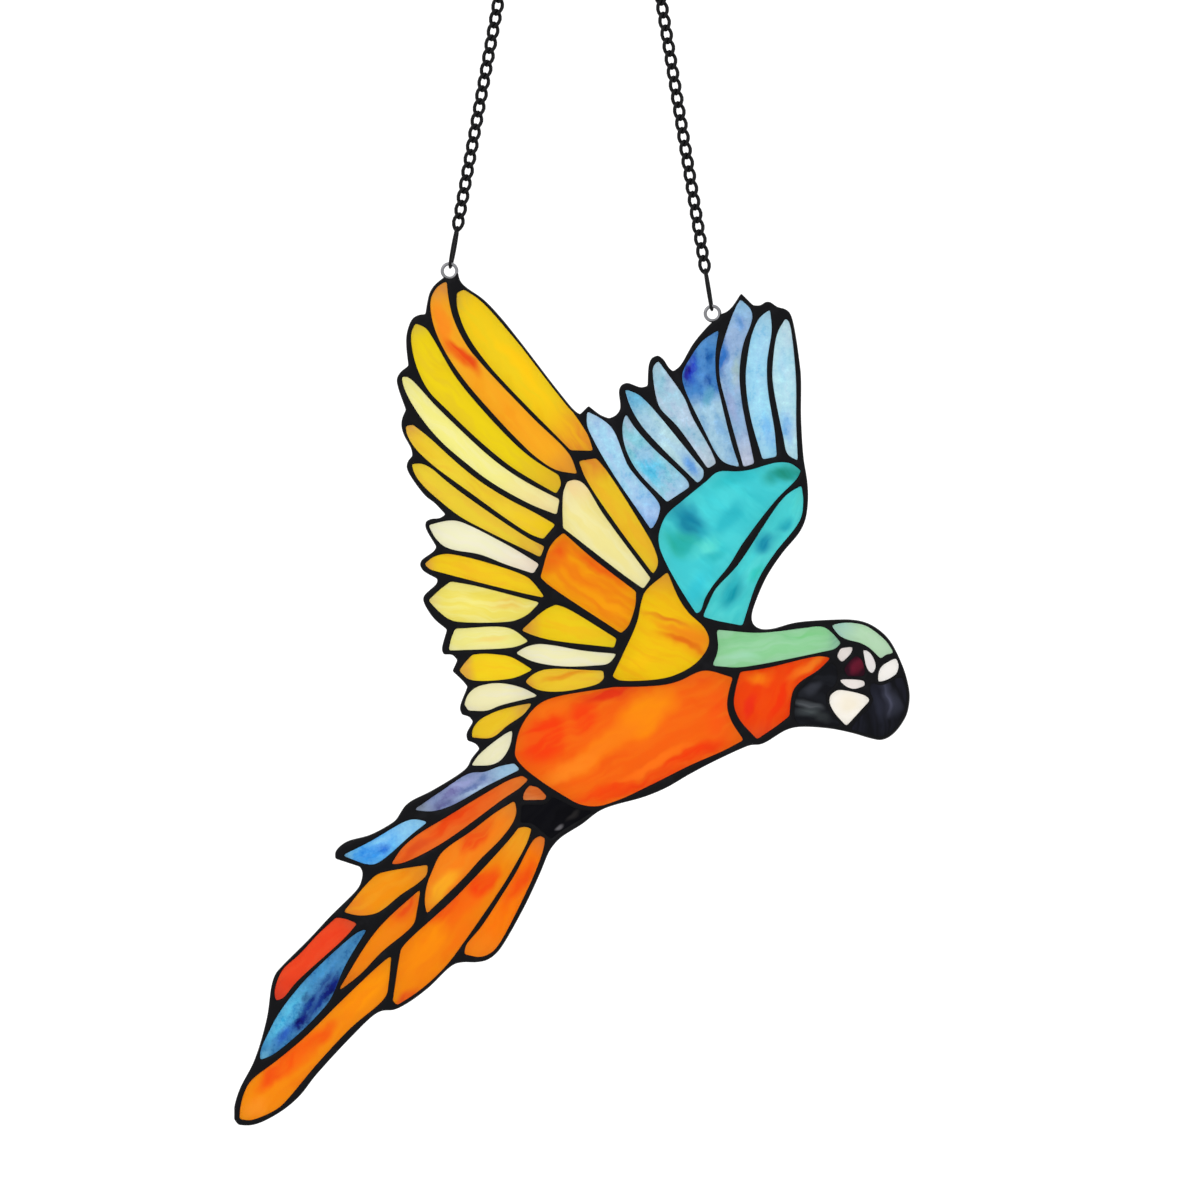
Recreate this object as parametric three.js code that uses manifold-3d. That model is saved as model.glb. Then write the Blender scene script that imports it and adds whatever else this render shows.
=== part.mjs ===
// A leaded glass panel of a flying macaw, hung by two chains from one ring.
// Millimetres, +Z up, the front faces -Y. The origin is the inside top of the hanging ring.
import * as THREE from "three";
import { mergeVertices } from "three/addons/utils/BufferGeometryUtils.js";
import Module from "manifold-3d";

// Driving sizes.
const PANEL_HEIGHT = 282; // highest feather to the tip of the tail
const GLASS_THICKNESS = 3;
const FOIL_LAP = 0.4; // solder over the edge of a pane, front and back
const FIT_GAP = 0.3; // free space round each pane and at each loose link
const SOLDER_LIP = 0.5; // solder above that free space
const CHORD_ERROR = 0.15;
const RING_OUTER = 6;
const RING_WIRE = 1.15;
const LINK_WIRE = 1.1;
const LINK_WIDTH = 4.2;
const LINK_PITCH = 4.3;
const LONG_LINK = 14.3; // outside length of the link that holds the soldered ring
const TOP_LINK = 7.6; // outside length of the link on the hanging ring
const HANGER_INSIDE = 9; // inside diameter of the hanging ring
const TOP_SPREAD = 0.9; // between the lines of the two chains, at the middle of the hanging ring
const CARTOON_HEIGHT = 845; // squares from the highest feather to the tip of the tail

// Sizes that follow from them.
const SQUARE = PANEL_HEIGHT / CARTOON_HEIGHT; // one square of the cartoon
const LIP_REACH = FOIL_LAP + FIT_GAP; // how far the solder stands in front of its groove
const POCKET_HALF = GLASS_THICKNESS / 2 + FIT_GAP;
const SOLDER_HALF = POCKET_HALF + SOLDER_LIP;
const LINK_INSIDE = LINK_WIDTH - 2 * LINK_WIRE;
const HANGER_WIRE = LINK_INSIDE - 2 * FIT_GAP;
const RUN_THICKNESS = 1.6 * LINK_WIRE; // the small links are twisted, so thicker than their wire

// Straight pieces that stand for a curve.
const WIRE_SIDES = 6;
const SOLDERED_RING_STEPS = 14;
const HANGING_RING_STEPS = 20;
const LINK_END_STEPS = 2;

// The cartoon, on squared paper: x to the right, y down.
const HANGING_POINT = [584, -475];
const LEFT_RING = [449.5, 271];
const RIGHT_RING = [712.5, 313.5];

// The visible outline of each pane, in cartoon squares.
const PANES = {
  wing_feather_1: [
    [458, 294], [458, 305], [463, 323], [472, 341], [488, 363], [509, 386.5], [529, 407],
    [549, 427.5], [571, 449.5], [592, 450], [585, 432], [573, 416], [499, 322], [479, 301],
    [464, 291],
  ],
  wing_feather_2: [
    [446, 283], [438, 288.5], [432, 300], [434, 322.5], [444, 347.5], [464.5, 379], [499, 419],
    [518, 439], [536, 456], [556, 469], [576, 473], [568.5, 455], [533, 419.5], [483, 367],
    [466, 346], [453, 320], [448, 300],
  ],
  wing_feather_3: [
    [416, 325], [412.5, 334], [413.5, 350], [419, 370], [430, 391], [446.5, 408], [476.5, 437],
    [509.5, 464.5], [534, 480], [556, 492.5], [560, 484], [558, 476], [532.5, 460], [510.5, 441],
    [488, 415], [457, 380.5], [432.5, 339.5], [425, 329],
  ],
  wing_feather_4: [
    [403, 378], [405, 387], [411, 400], [424, 420], [442, 441], [465, 461], [491, 481],
    [530, 503], [556, 513.5], [558.5, 500], [533, 487], [512, 474.5], [487.5, 456],
    [437.5, 409], [418, 389], [408, 378.5],
  ],
  wing_feather_5: [
    [407, 427], [408, 433.5], [414, 445], [430, 461.5], [464, 487], [512.5, 521], [530, 533],
    [543, 538], [554, 525], [535, 514], [508, 500], [480, 482.5], [458, 465], [427, 437],
    [413, 426],
  ],
  wing_feather_6: [
    [413, 465], [416, 474], [424, 485], [441, 500.5], [461, 516], [487, 530], [540, 556],
    [543.5, 547], [527, 538.5], [465, 496.5], [443, 479.5], [432, 470], [422, 465],
  ],
  wing_feather_7: [
    [430, 526], [441, 523], [452, 521.5], [461, 523], [483, 534], [510, 547.5], [538, 564.5],
    [533, 572.5], [506, 563.5], [480, 553.5], [454, 549], [444, 545], [436, 537],
  ],
  wing_feather_8: [
    [426, 564], [434, 558], [445, 555], [456, 556], [485, 563], [513, 573], [526, 577.5],
    [533, 583.5], [543, 596.5], [522, 592], [441, 571.5], [430, 568],
  ],
  wing_feather_9: [
    [430, 600.5], [440, 591], [451, 582.5], [474, 586.5], [506, 595], [538, 603], [528, 613],
    [519, 618], [510, 620.5], [460, 621], [450, 618.5], [440, 611],
  ],
  wing_feather_10: [
    [456, 629.5], [509, 629], [518, 634.5], [527, 641], [518, 645], [508, 647], [450, 649.5],
    [452, 640],
  ],
  wing_feather_11: [
    [473, 655.5], [485, 654.5], [498, 655.5], [510, 657.5], [531, 669.5], [518, 675.5],
    [508, 678], [470, 678.5], [460.5, 670.5], [466, 663],
  ],
  wing_feather_12: [
    [476, 688.5], [487, 685], [499, 684], [511, 685.5], [523, 689], [536, 695.5], [500, 704.5],
    [487, 709.5], [469, 709.5], [465.5, 704], [469, 695],
  ],
  wing_feather_13: [
    [480, 721], [489, 715.5], [500, 711], [515, 707], [530.5, 704], [523, 713.5], [507, 724.5],
    [491.5, 736.5], [473, 736.5], [474, 729],
  ],
  wing_feather_14: [
    [511.5, 731.5], [510.5, 740], [508, 748], [501, 758.5], [492, 763.5], [473, 764.5],
    [480, 755], [494, 743.5], [503.5, 736],
  ],
  covert_amber_strip: [
    [580, 462], [596, 459.5], [607, 473], [640, 526], [648, 538], [652.5, 547], [657, 561],
    [656, 567], [653, 572.5], [646, 562.5], [617.5, 525], [587, 479],
  ],
  covert_cream_wedge: [
    [564.5, 492], [568, 482.5], [575, 481], [583, 484.5], [602, 514], [623, 543], [649.5, 578.5],
    [643, 587.5], [626, 575.5], [585, 544], [564, 527.5], [563.5, 508],
  ],
  covert_orange: [
    [563.5, 534], [556, 540.5], [550, 549], [546.5, 560], [541.5, 577], [549, 584], [621, 632],
    [627, 626], [631, 617], [634.5, 604], [635, 592], [611, 573.5], [589.5, 557], [572.5, 541.5],
  ],
  covert_golden: [
    [523, 630], [533, 621.5], [545, 611], [556, 605.5], [567, 609.5], [590, 623], [615.5, 639],
    [613.5, 646.5], [583, 642.5], [551, 639], [534, 634.5],
  ],
  covert_white: [
    [517.5, 653], [526, 648], [538, 645], [552, 646], [583, 651.5], [615, 654.5], [608, 662.5],
    [594, 664.5], [570, 665.5], [550, 664], [532, 660],
  ],
  covert_amber_low: [
    [526.5, 681.5], [533, 675.5], [545, 670.5], [562, 671], [602.5, 671.5], [603, 678],
    [598, 682.5], [578, 688], [560, 690.5], [544, 690], [534, 687],
  ],
  shoulder: [
    [667, 573.5], [646, 592], [642, 603], [638, 622], [624, 654], [613.5, 676], [619, 679],
    [650, 679], [672, 675], [693, 664], [705, 650.5], [708, 640], [703.5, 628.5], [687.5, 613],
    [678, 599],
  ],
  blue_feather_1: [
    [588, 413], [601, 420], [612, 430], [616, 439], [627, 466], [636, 478], [658.5, 505],
    [658.5, 512], [654.5, 523], [651, 528], [640, 512], [612, 470.5], [594, 439], [588, 425],
  ],
  blue_feather_2: [
    [626, 416], [633, 427], [650, 446.5], [687.5, 483], [688, 487], [667, 501], [640, 473],
    [630, 457], [624.5, 441], [623.5, 425],
  ],
  blue_feather_3: [
    [626, 391], [632, 393], [641, 398], [657, 416.5], [676, 439.5], [702.5, 470.5], [702, 477],
    [697.5, 482], [656, 441], [641, 423.5], [631, 406],
  ],
  blue_feather_4: [
    [658, 362.5], [671, 381], [683, 398], [691, 417], [710, 451], [715, 463], [708, 467.5],
    [700, 456], [678, 426], [661, 408], [657, 397], [654, 378], [654, 368],
  ],
  blue_feather_5: [
    [717.5, 332], [703, 342], [691, 358.5], [683.5, 373], [684, 384], [705, 430], [719.5, 457],
    [726, 462.5], [738, 466], [731, 445], [719.5, 399], [715, 377], [714.5, 352],
  ],
  blue_feather_6: [
    [740.5, 301], [736, 309], [726, 336], [720.5, 357], [720.5, 377], [728, 408], [744, 466],
    [753, 463], [747, 435], [740, 398], [738.5, 370], [742, 345], [751, 319], [750, 311],
  ],
  blue_feather_7: [
    [769, 311.5], [760, 319], [753, 334], [748.5, 356], [746.5, 380], [751, 416], [763, 458.5],
    [775.5, 456], [773.5, 432], [766.5, 388], [766, 362], [770.5, 330],
  ],
  blue_feather_8: [
    [785.5, 320], [778, 334], [773.5, 364], [773.5, 382], [784, 437], [788, 453.5],
    [796.5, 459.5], [795, 424], [794.5, 376], [790.5, 345], [788, 323],
  ],
  turquoise_wing: [
    [799.5, 471], [790, 464.5], [778, 463.5], [765, 466.5], [752, 470.5], [738, 472.5],
    [718, 473], [704, 484.5], [683, 501.5], [667, 516], [660, 533], [660, 545], [666, 561],
    [682, 590], [696.5, 612.5], [699.5, 610.5], [704, 598], [712, 585], [728, 565], [742, 542.5],
    [762, 517], [775, 499.5], [796, 478],
  ],
  turquoise_edge: [
    [800.5, 487], [785, 497.5], [773.5, 514], [757, 538], [738, 566], [716, 590],
    [709.5, 603], [704, 616], [716, 619.5], [741.5, 624.5], [749, 603], [757, 579.5],
    [775, 551], [793, 529], [800, 517], [802, 501],
  ],
  neck: [
    [718, 631], [731, 632.5], [755, 634], [779, 632.5], [802, 629.5], [822, 628], [830, 633],
    [839, 643], [834, 647.5], [822, 650.5], [784, 658], [757, 663.5], [737, 666], [714, 664.5],
    [719, 650],
  ],
  crown: [
    [833, 626], [843, 624], [855, 624.5], [865, 627], [876.5, 634.5], [885.5, 643], [891.5, 652],
    [885, 653.5], [880.5, 657], [870, 647], [860, 641.5], [848, 638.5], [840, 634.5],
  ],
  body: [
    [731.5, 678], [704, 671.5], [680, 681.5], [665, 685.5], [640, 687.5], [613, 688],
    [555, 698], [540, 704.5], [528, 717], [520, 732], [516.5, 748], [516.5, 756], [524, 766],
    [543, 781], [565, 795], [580, 803], [597, 805], [619, 798.5], [650, 784], [690, 764],
    [722, 750], [742, 739.5], [730, 720.5], [726, 706], [728, 690],
  ],
  breast: [
    [741, 673], [765, 669.5], [800, 661.5], [818, 657.5], [828, 658.5], [817, 669], [799, 681],
    [792, 689.5], [789, 702], [788, 715], [778, 723], [757, 737.5], [740, 718], [735, 704],
    [737, 688],
  ],
  cheek_black: [
    [831, 664.5], [834.5, 668], [835.5, 678], [832, 686], [825, 693], [824.5, 702], [828.5, 713],
    [839, 724.5], [820, 723.5], [800, 723], [795.5, 718], [796, 703], [801, 690], [813.5, 679.5],
  ],
  beak: [
    [872, 684], [880, 686.5], [889, 683.5], [897, 679], [902, 679], [904.5, 690], [904.5, 703], [901, 715],
    [893, 728], [882, 735], [870, 733.5], [852, 728.5], [859, 719.5], [870.5, 707.5],
    [874.5, 699.5], [871, 690],
  ],
  beak_base_white: [
    [895, 659.5], [897, 666], [895, 673], [887, 678], [879, 680.5], [879.5, 673], [882, 667.5],
    [889, 662.5],
  ],
  eye_white_left: [
    [841, 649.5], [851, 648], [850, 651.5], [846.5, 656], [841.5, 660.5], [838, 656],
  ],
  eye_white_right: [
    [864, 651], [868.5, 653.5], [872.5, 660], [874, 667], [871.5, 672], [868, 668],
    [865.5, 659],
  ],
  eye: [
    [856, 657], [860, 660], [863.5, 672], [862, 675], [848, 675], [845, 669], [850, 662],
  ],
  eye_white_below: [
    [841, 680.5], [851, 680.5], [862.5, 681.5], [863.5, 684.5], [854, 687.5], [847, 685.5],
  ],
  cheek_white: [
    [837, 691.5], [847, 692], [865, 697], [868, 700], [855, 714], [846, 724], [835, 711.5],
    [830.5, 702], [831, 696],
  ],
  tail_violet: [
    [518.5, 769], [514, 764], [500, 767], [485, 772.5], [470, 774], [458, 781.5], [440, 793],
    [426, 803], [416.5, 809], [432, 810], [451, 804.5], [463, 797.5], [487, 784.5],
  ],
  tail_light_blue: [
    [345, 855], [357, 848.5], [370, 842.5], [391, 831], [407, 821.5], [416, 820], [426, 822],
    [413, 832], [391, 850.5], [377, 862], [368, 863], [355, 858.5],
  ],
  tail_red_orange: [
    [527, 779.5], [522, 776.5], [510, 780.5], [480, 797.5], [440, 821.5], [418, 835.5],
    [403, 848.5], [393, 863], [403, 861.5], [423, 851.5], [441, 842.5], [472, 820.5],
    [504, 797], [519, 787],
  ],
  rump_orange: [
    [530, 786], [538, 788.5], [545.5, 796], [544.5, 798.5], [524, 799], [525, 793],
  ],
  rump_black: [
    [523, 806], [546, 804.5], [553, 798], [566, 804], [580, 810.5], [591, 811.5], [578, 819.5],
    [560, 830.5], [551, 837.5], [545, 832], [537, 825.5], [531, 822], [521.5, 821.5],
  ],
  tail_amber: [
    [514, 802], [515.5, 810], [513, 820], [501, 837], [480, 858], [463, 877], [446, 894],
    [427.5, 911.5], [426, 901], [428, 885], [433.5, 870.5], [441, 855], [450, 846.5], [470, 833],
    [497, 812.5],
  ],
  tail_leaf: [
    [345.5, 911], [352, 902.5], [367, 885], [378, 875], [390, 871.5], [410, 868.5],
    [427, 865.5], [426, 873.5], [419, 881], [400, 894], [385, 906.5], [377, 911.5],
    [366, 914], [355, 913.5],
  ],
  tail_blade: [
    [419.5, 891], [410, 899.5], [392, 915.5], [377, 931.5], [363.5, 950.5], [351, 971],
    [341, 988], [360, 973], [381, 951], [403, 932], [413, 923], [416, 911],
  ],
  tail_red: [
    [337, 918], [346, 919.5], [356, 923.5], [344, 937], [313, 965], [296, 981], [283, 996.5],
    [277, 999], [276, 992], [279.5, 978], [285, 968.5], [301, 954], [319, 934.5],
  ],
  tail_blue: [
    [365.5, 930], [356, 945.5], [345, 964], [330, 998], [318, 1013], [299, 1032], [273, 1053],
    [261.5, 1058], [262, 1050], [270, 1032], [280, 1013.5], [298, 989.5], [316, 970],
    [341, 948.5], [358, 933],
  ],
  tail_orange_long: [
    [519, 828.5], [525, 827.5], [530.5, 829], [526, 842.5], [511, 870], [499, 889.5],
    [462, 943], [449, 960.5], [434, 976.5], [416, 991.5], [397.5, 1003.5], [394, 1000],
    [397.5, 978], [401, 955], [403, 948], [420, 931.5], [457, 897], [497, 853.5], [510, 840],
  ],
  tail_orange_outer: [
    [535, 839.5], [540.5, 836.5], [544, 838.5], [543, 846.5], [538, 862], [530, 881.5],
    [505, 930.5], [497, 945], [489, 952.5], [480, 955.5], [465.5, 953], [467, 945.5],
    [482, 927], [503, 895], [517, 872.5], [530, 848.5],
  ],
  tail_tip: [
    [390.5, 957], [380, 965.5], [343, 1000.5], [305, 1038], [278, 1060.5], [252, 1081],
    [246, 1091.5], [242, 1106], [241, 1117.5], [250, 1118.5], [262, 1115], [279, 1106],
    [288, 1097], [316, 1063.5], [350, 1027], [376, 1004], [385, 995.5], [388, 982],
    [389.5, 966],
  ],
};

// The outside of the soldered rim, in cartoon squares, from the left ring towards the right.
const RIM = [
  [440, 281], [444, 277.5], [449.5, 279], [455, 277], [458, 272.5], [460, 280], [464, 285.5],
  [483.5, 299.5], [499.5, 316], [519, 340], [539.5, 366.5], [559, 392], [574.5, 410.5],
  [580, 414.5], [584, 410.5], [588.5, 406], [600.5, 415], [609, 418.5], [615.5, 415.5],
  [620, 409], [619, 390], [621.5, 385], [627, 383], [641, 387.5], [647.5, 386], [649, 364],
  [652, 358], [658, 355.5], [663, 359], [669, 368], [673, 371.5], [679.5, 366.5],
  [692, 345.5], [700, 335], [709, 326], [713, 321.5], [718, 319], [720.5, 314.5],
  [725.5, 312.5], [731, 308], [741, 293.5], [747, 299], [753, 305.5], [760, 305.5],
  [766, 302], [770.5, 302.5], [777, 307], [785.5, 309.5], [790.5, 314.5], [795, 338],
  [800, 367], [801, 380], [801, 418], [803.5, 458], [807, 480], [808, 495], [807, 511],
  [804.5, 522], [799, 533], [782, 553.5], [767, 576], [757, 598], [752, 613.5], [752, 621],
  [755, 626], [762, 629], [773, 628.5], [791, 623.5], [803, 621.5], [836, 619.5],
  [851, 619.5], [863, 621.5], [871.5, 625], [880.5, 631], [888.5, 639], [894.5, 648.5], [902.5, 666],
  [907, 680], [909.5, 696], [907, 713], [902, 723], [895, 732], [888, 737.5], [880.5, 740],
  [871, 738.5], [852, 733], [829.5, 728.5], [798, 727], [786, 730], [766, 742], [759.5, 744.5],
  [751, 745], [742.5, 748], [710.5, 763], [688, 775], [666.5, 787.5], [645, 796.5],
  [602, 809.5], [582, 824], [561.5, 837], [554, 844.5], [549, 852], [540, 873.5],
  [524, 907.5], [501.5, 947], [495, 954.5], [486.5, 960], [476, 962], [463, 962],
  [453.5, 964.5], [428, 988], [407.5, 1003], [394, 1009.5], [382.5, 1010.5], [374.5, 1014.5],
  [352, 1036], [316.5, 1074.5], [299.5, 1096], [281.5, 1111], [260, 1122.5], [249.5, 1125],
  [239, 1124.5], [234.5, 1118.5], [234.5, 1107], [240, 1088.5], [254.5, 1060],
  [267, 1018], [272, 984], [276, 973], [281, 967], [309, 939], [329.5, 917], [358, 888],
  [361.5, 880.5], [362.5, 871.5], [360, 866.5], [335.5, 858.5], [335.5, 852], [340, 846],
  [348, 841], [369.5, 835], [389.5, 824.5], [396, 819.5], [404.5, 806.5], [411, 801],
  [431, 791], [461, 772.5], [467.5, 766.5], [471.5, 758.5], [479.5, 748.5], [476, 744],
  [467.5, 740.5], [466.5, 734], [473, 721.5], [469.5, 717], [462, 714.5], [460, 708],
  [467.5, 686.5], [463, 681], [452.5, 671], [457.5, 660], [452.5, 655], [444, 654.5],
  [442, 650], [447, 629.5], [433.5, 618], [423.5, 601], [424, 596], [437, 583],
  [437.5, 579], [423, 570.5], [420, 565], [421.5, 560.5], [434, 551], [436.5, 547],
  [425.5, 527], [426, 521.5], [431, 519], [440, 518], [445.5, 514.5], [434.5, 503],
  [425, 495.5], [407, 468.5], [408, 461.5], [412.5, 456], [411.5, 449.5], [403.5, 434],
  [401.5, 425], [402.5, 418], [406, 410], [398, 387], [397, 379], [400.5, 372.5],
  [408.5, 366], [406.5, 348], [406.5, 336.5], [409, 326], [413, 318.5], [419.5, 315],
  [425.5, 314.5], [427.5, 302], [430, 292.5], [434.5, 285.5],
];

// The sheets of glass, with the panes cut from each.
const SHEETS = {
  lemon: { color: 0xf0d42c, panes: ["wing_feather_1", "wing_feather_3", "wing_feather_5"] },
  golden: {
    color: 0xf2c021,
    panes: [
      "wing_feather_6",
      "wing_feather_8",
      "wing_feather_11",
      "wing_feather_13",
      "covert_golden",
      "covert_amber_low",
      "shoulder",
    ],
  },
  cream: {
    color: 0xf3ecac,
    panes: [
      "wing_feather_4",
      "wing_feather_9",
      "wing_feather_10",
      "covert_cream_wedge",
    ],
  },
  ivory: {
    color: 0xefebcf,
    panes: ["wing_feather_7", "wing_feather_12", "wing_feather_14", "covert_white"],
  },
  amber: {
    color: 0xf5a81f,
    panes: [
      "wing_feather_2",
      "covert_amber_strip",
      "tail_amber",
      "tail_leaf",
      "tail_blade",
      "tail_orange_long",
      "tail_orange_outer",
      "tail_tip",
      "rump_orange",
    ],
  },
  flame: { color: 0xf5651b, panes: ["covert_orange", "body", "breast", "tail_red_orange"] },
  red: { color: 0xec4326, panes: ["tail_red"] },
  pale_blue: {
    color: 0xaed6ec,
    panes: [
      "blue_feather_1",
      "blue_feather_2",
      "blue_feather_3",
      "blue_feather_4",
      "blue_feather_7",
      "blue_feather_8",
      "tail_light_blue",
    ],
  },
  blue: { color: 0x5b95cf, panes: ["blue_feather_5", "blue_feather_6", "tail_blue"] },
  violet: { color: 0x9fb1d8, panes: ["tail_violet"] },
  turquoise: { color: 0x3fcfd6, panes: ["turquoise_wing", "turquoise_edge"] },
  green: { color: 0x98d9a2, panes: ["neck", "crown"] },
  white: {
    color: 0xf6f1e6,
    panes: [
      "beak_base_white",
      "eye_white_left",
      "eye_white_right",
      "eye_white_below",
      "cheek_white",
    ],
  },
  black: { color: 0x16171b, panes: ["cheek_black", "beak", "rump_black"] },
  ruby: { color: 0x5c1226, panes: ["eye"] },
};

const SOLDER = metal(0x121214, 0.45);
const RING_STEEL = metal(0xb9bcc0, 0.3);
const CHAIN_BLACK = metal(0x17171a, 0.4);

const wasm = await Module();
wasm.setup();

function metal(color, roughness) {
  return new THREE.MeshStandardMaterial({ color, roughness, metalness: 0.9 });
}

// Cartoon squares to millimetres in the plane of the panel, y up, from the hanging point.
function place([x, y]) {
  return new THREE.Vector2(x - HANGING_POINT[0], HANGING_POINT[1] - y).multiplyScalar(SQUARE);
}

// The points of a line without those closer than an error to a straight run.
function thinned(points, error) {
  const chord = points.at(-1).clone().sub(points[0]);
  const away = points.map((p) => Math.abs(chord.cross(p.clone().sub(points[0]))) / chord.length());
  const furthest = away.indexOf(Math.max(...away));
  if (points.length < 3 || away[furthest] <= error) return [points[0], points.at(-1)];
  return [
    ...thinned(points.slice(0, furthest + 1), error),
    ...thinned(points.slice(furthest), error).slice(1),
  ];
}

// An outline of the cartoon, anticlockwise from its lowest point.
function drawn(squares) {
  const outline = squares.map(place);
  if (THREE.ShapeUtils.isClockWise(outline)) outline.reverse();
  const heights = outline.map((p) => p.y);
  const low = heights.indexOf(Math.min(...heights));
  const from = [...outline.slice(low), ...outline.slice(0, low)];
  const top = from.findIndex((p) => p.y === Math.max(...heights));
  const up = thinned(from.slice(0, top + 1), CHORD_ERROR);
  const down = thinned([...from.slice(top), from[0]], CHORD_ERROR);
  return [...up.slice(0, -1), ...down.slice(0, -1)];
}

// Moves an outline outwards by a distance; a sharp corner moves at most root two times as far.
function grown(outline, distance) {
  return outline.map((p, i) => {
    const before = p.clone().sub(outline.at(i - 1)).normalize();
    const after = outline[(i + 1) % outline.length].clone().sub(p).normalize();
    const out = new THREE.Vector2(before.y + after.y, -before.x - after.x);
    const reach = Math.min(2 / out.length(), Math.SQRT2) * distance;
    return p.clone().addScaledVector(out.normalize(), reach);
  });
}

// A flat plate of an outline, centred on the plane of the panel.
function plate(outline, thickness) {
  const shape = new THREE.Shape(outline);
  const geometry = new THREE.ExtrudeGeometry(shape, { depth: thickness, bevelEnabled: false });
  return geometry.translate(0, 0, -thickness / 2);
}

// What a pane takes out of the solder: a window in each face and a wider groove between them.
function opening(window) {
  const groove = new THREE.ExtrudeGeometry(new THREE.Shape(window), {
    depth: 2 * POCKET_HALF,
    bevelSegments: 1,
    bevelThickness: SOLDER_LIP,
    bevelSize: LIP_REACH,
  });
  const through = plate(window, 2 * SOLDER_HALF + GLASS_THICKNESS);
  return solidOf(groove.translate(0, 0, -POCKET_HALF)).add(solidOf(through));
}

// A geometry as a closed solid that can be joined and cut.
function solidOf(geometry) {
  const bare = geometry.clone().deleteAttribute("normal").deleteAttribute("uv");
  const merged = mergeVertices(bare, 1e-4);
  return new wasm.Manifold(
    new wasm.Mesh({
      numProp: 3,
      vertProperties: merged.attributes.position.array,
      triVerts: new Uint32Array(merged.index.array),
    }),
  );
}

// The geometry of a solid.
function geometryOf(solid) {
  const made = solid.getMesh();
  const geometry = new THREE.BufferGeometry();
  geometry.setAttribute("position", new THREE.BufferAttribute(made.vertProperties, 3));
  geometry.setIndex(new THREE.BufferAttribute(made.triVerts, 1));
  return geometry;
}

// A round wire ring, flat in the plane of the panel.
function wireRing(insideDiameter, wire, steps) {
  return new THREE.TorusGeometry((insideDiameter + wire) / 2, wire / 2, WIRE_SIDES, steps);
}

// A long link standing edge-on to the panel, between two inside ends on the y axis.
function longLink(from, to) {
  const outline = (end) => {
    const radius = LINK_INSIDE / 2 + end;
    const shape = new THREE.Shape();
    shape.absarc(0, to - LINK_INSIDE / 2, radius, 0, Math.PI);
    shape.absarc(0, from + LINK_INSIDE / 2, radius, Math.PI, 2 * Math.PI);
    return shape.getPoints(LINK_END_STEPS).slice(0, -1);
  };
  const shape = new THREE.Shape(outline(LINK_WIRE));
  shape.holes.push(new THREE.Path(outline(0).reverse()));
  const geometry = new THREE.ExtrudeGeometry(shape, { depth: LINK_WIRE, bevelEnabled: false });
  return geometry.translate(0, 0, -LINK_WIRE / 2).rotateY(Math.PI / 2);
}

// The run of small links from one height to another, as a band that narrows between them.
function linkRun(from, to) {
  const count = Math.round((to - from) / LINK_PITCH);
  const pitch = (to - from) / count;
  const neck = LINK_INSIDE / 2;
  const edge = [new THREE.Vector2(neck, from - LINK_WIRE)];
  for (let i = 0; i < count; i += 1) {
    if (i > 0) edge.push(new THREE.Vector2(neck + LINK_WIRE / 2, from + i * pitch));
    edge.push(new THREE.Vector2(LINK_WIDTH / 2, from + (i + 0.5) * pitch));
  }
  edge.push(new THREE.Vector2(neck, to + LINK_WIRE));
  const back = edge.map((p) => new THREE.Vector2(-p.x, p.y)).reverse();
  return plate([...edge, ...back], RUN_THICKNESS);
}

// One chain, upwards along y from the middle of a soldered ring to the hanging ring.
function chain(distance) {
  const ringHold = RING_OUTER / 2 - RING_WIRE - FIT_GAP;
  const hangerHold = distance - HANGER_INSIDE / 2 + FIT_GAP;
  const runStart = ringHold + LONG_LINK - 2 * LINK_WIRE;
  const runEnd = hangerHold - (TOP_LINK - 2 * LINK_WIRE);
  return solidOf(linkRun(runStart, runEnd))
    .add(solidOf(longLink(ringHold, runStart)))
    .add(solidOf(longLink(runEnd, hangerHold)));
}

// All the solder, cast round the panes, with the two rings sunk in its rim.
function solderLines() {
  let solder = solidOf(plate(drawn(RIM), 2 * SOLDER_HALF));
  for (const squares of Object.values(PANES)) {
    solder = solder.subtract(opening(drawn(squares)));
  }
  for (const squares of [LEFT_RING, RIGHT_RING]) {
    const centre = place(squares);
    const ring = wireRing(RING_OUTER - 2 * RING_WIRE, RING_WIRE, SOLDERED_RING_STEPS);
    solder = solder.add(solidOf(ring.translate(centre.x, centre.y, 0)));
  }
  return solder;
}

// A mesh under its name.
function named(name, geometry, material) {
  const mesh = new THREE.Mesh(geometry, material);
  mesh.name = name;
  return mesh;
}

// Drawn upright in x and y, then stood up so that its front faces -Y.
const panel = new THREE.Group();
panel.rotation.x = Math.PI / 2;
panel.add(named("solder_lines", geometryOf(solderLines()), SOLDER));

for (const { color, panes } of Object.values(SHEETS)) {
  for (const name of panes) {
    const glass = new THREE.MeshStandardMaterial({ color, roughness: 0.15, metalness: 0 });
    const edge = grown(drawn(PANES[name]), FOIL_LAP);
    panel.add(named(name, plate(edge, GLASS_THICKNESS), glass));
  }
}

const hanger = new THREE.Vector2(0, -HANGER_INSIDE / 2);
const chains = { chain_left: LEFT_RING, chain_right: RIGHT_RING };
for (const [name, squares] of Object.entries(chains)) {
  const ring = place(squares);
  const line = hanger.clone().sub(ring);
  line.x += (Math.sign(ring.x) * TOP_SPREAD) / 2;
  const mesh = named(name, geometryOf(chain(line.length())), CHAIN_BLACK);
  mesh.position.set(ring.x, ring.y, 0);
  mesh.rotation.z = line.angle() - Math.PI / 2;
  panel.add(mesh);
}

const hangingWire = wireRing(HANGER_INSIDE, HANGER_WIRE, HANGING_RING_STEPS);
const hangingRing = named("hanging_ring", hangingWire, RING_STEEL);
hangingRing.position.set(hanger.x, hanger.y, 0);
panel.add(hangingRing);

const object = new THREE.Group();
object.add(panel);

export default object;
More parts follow.
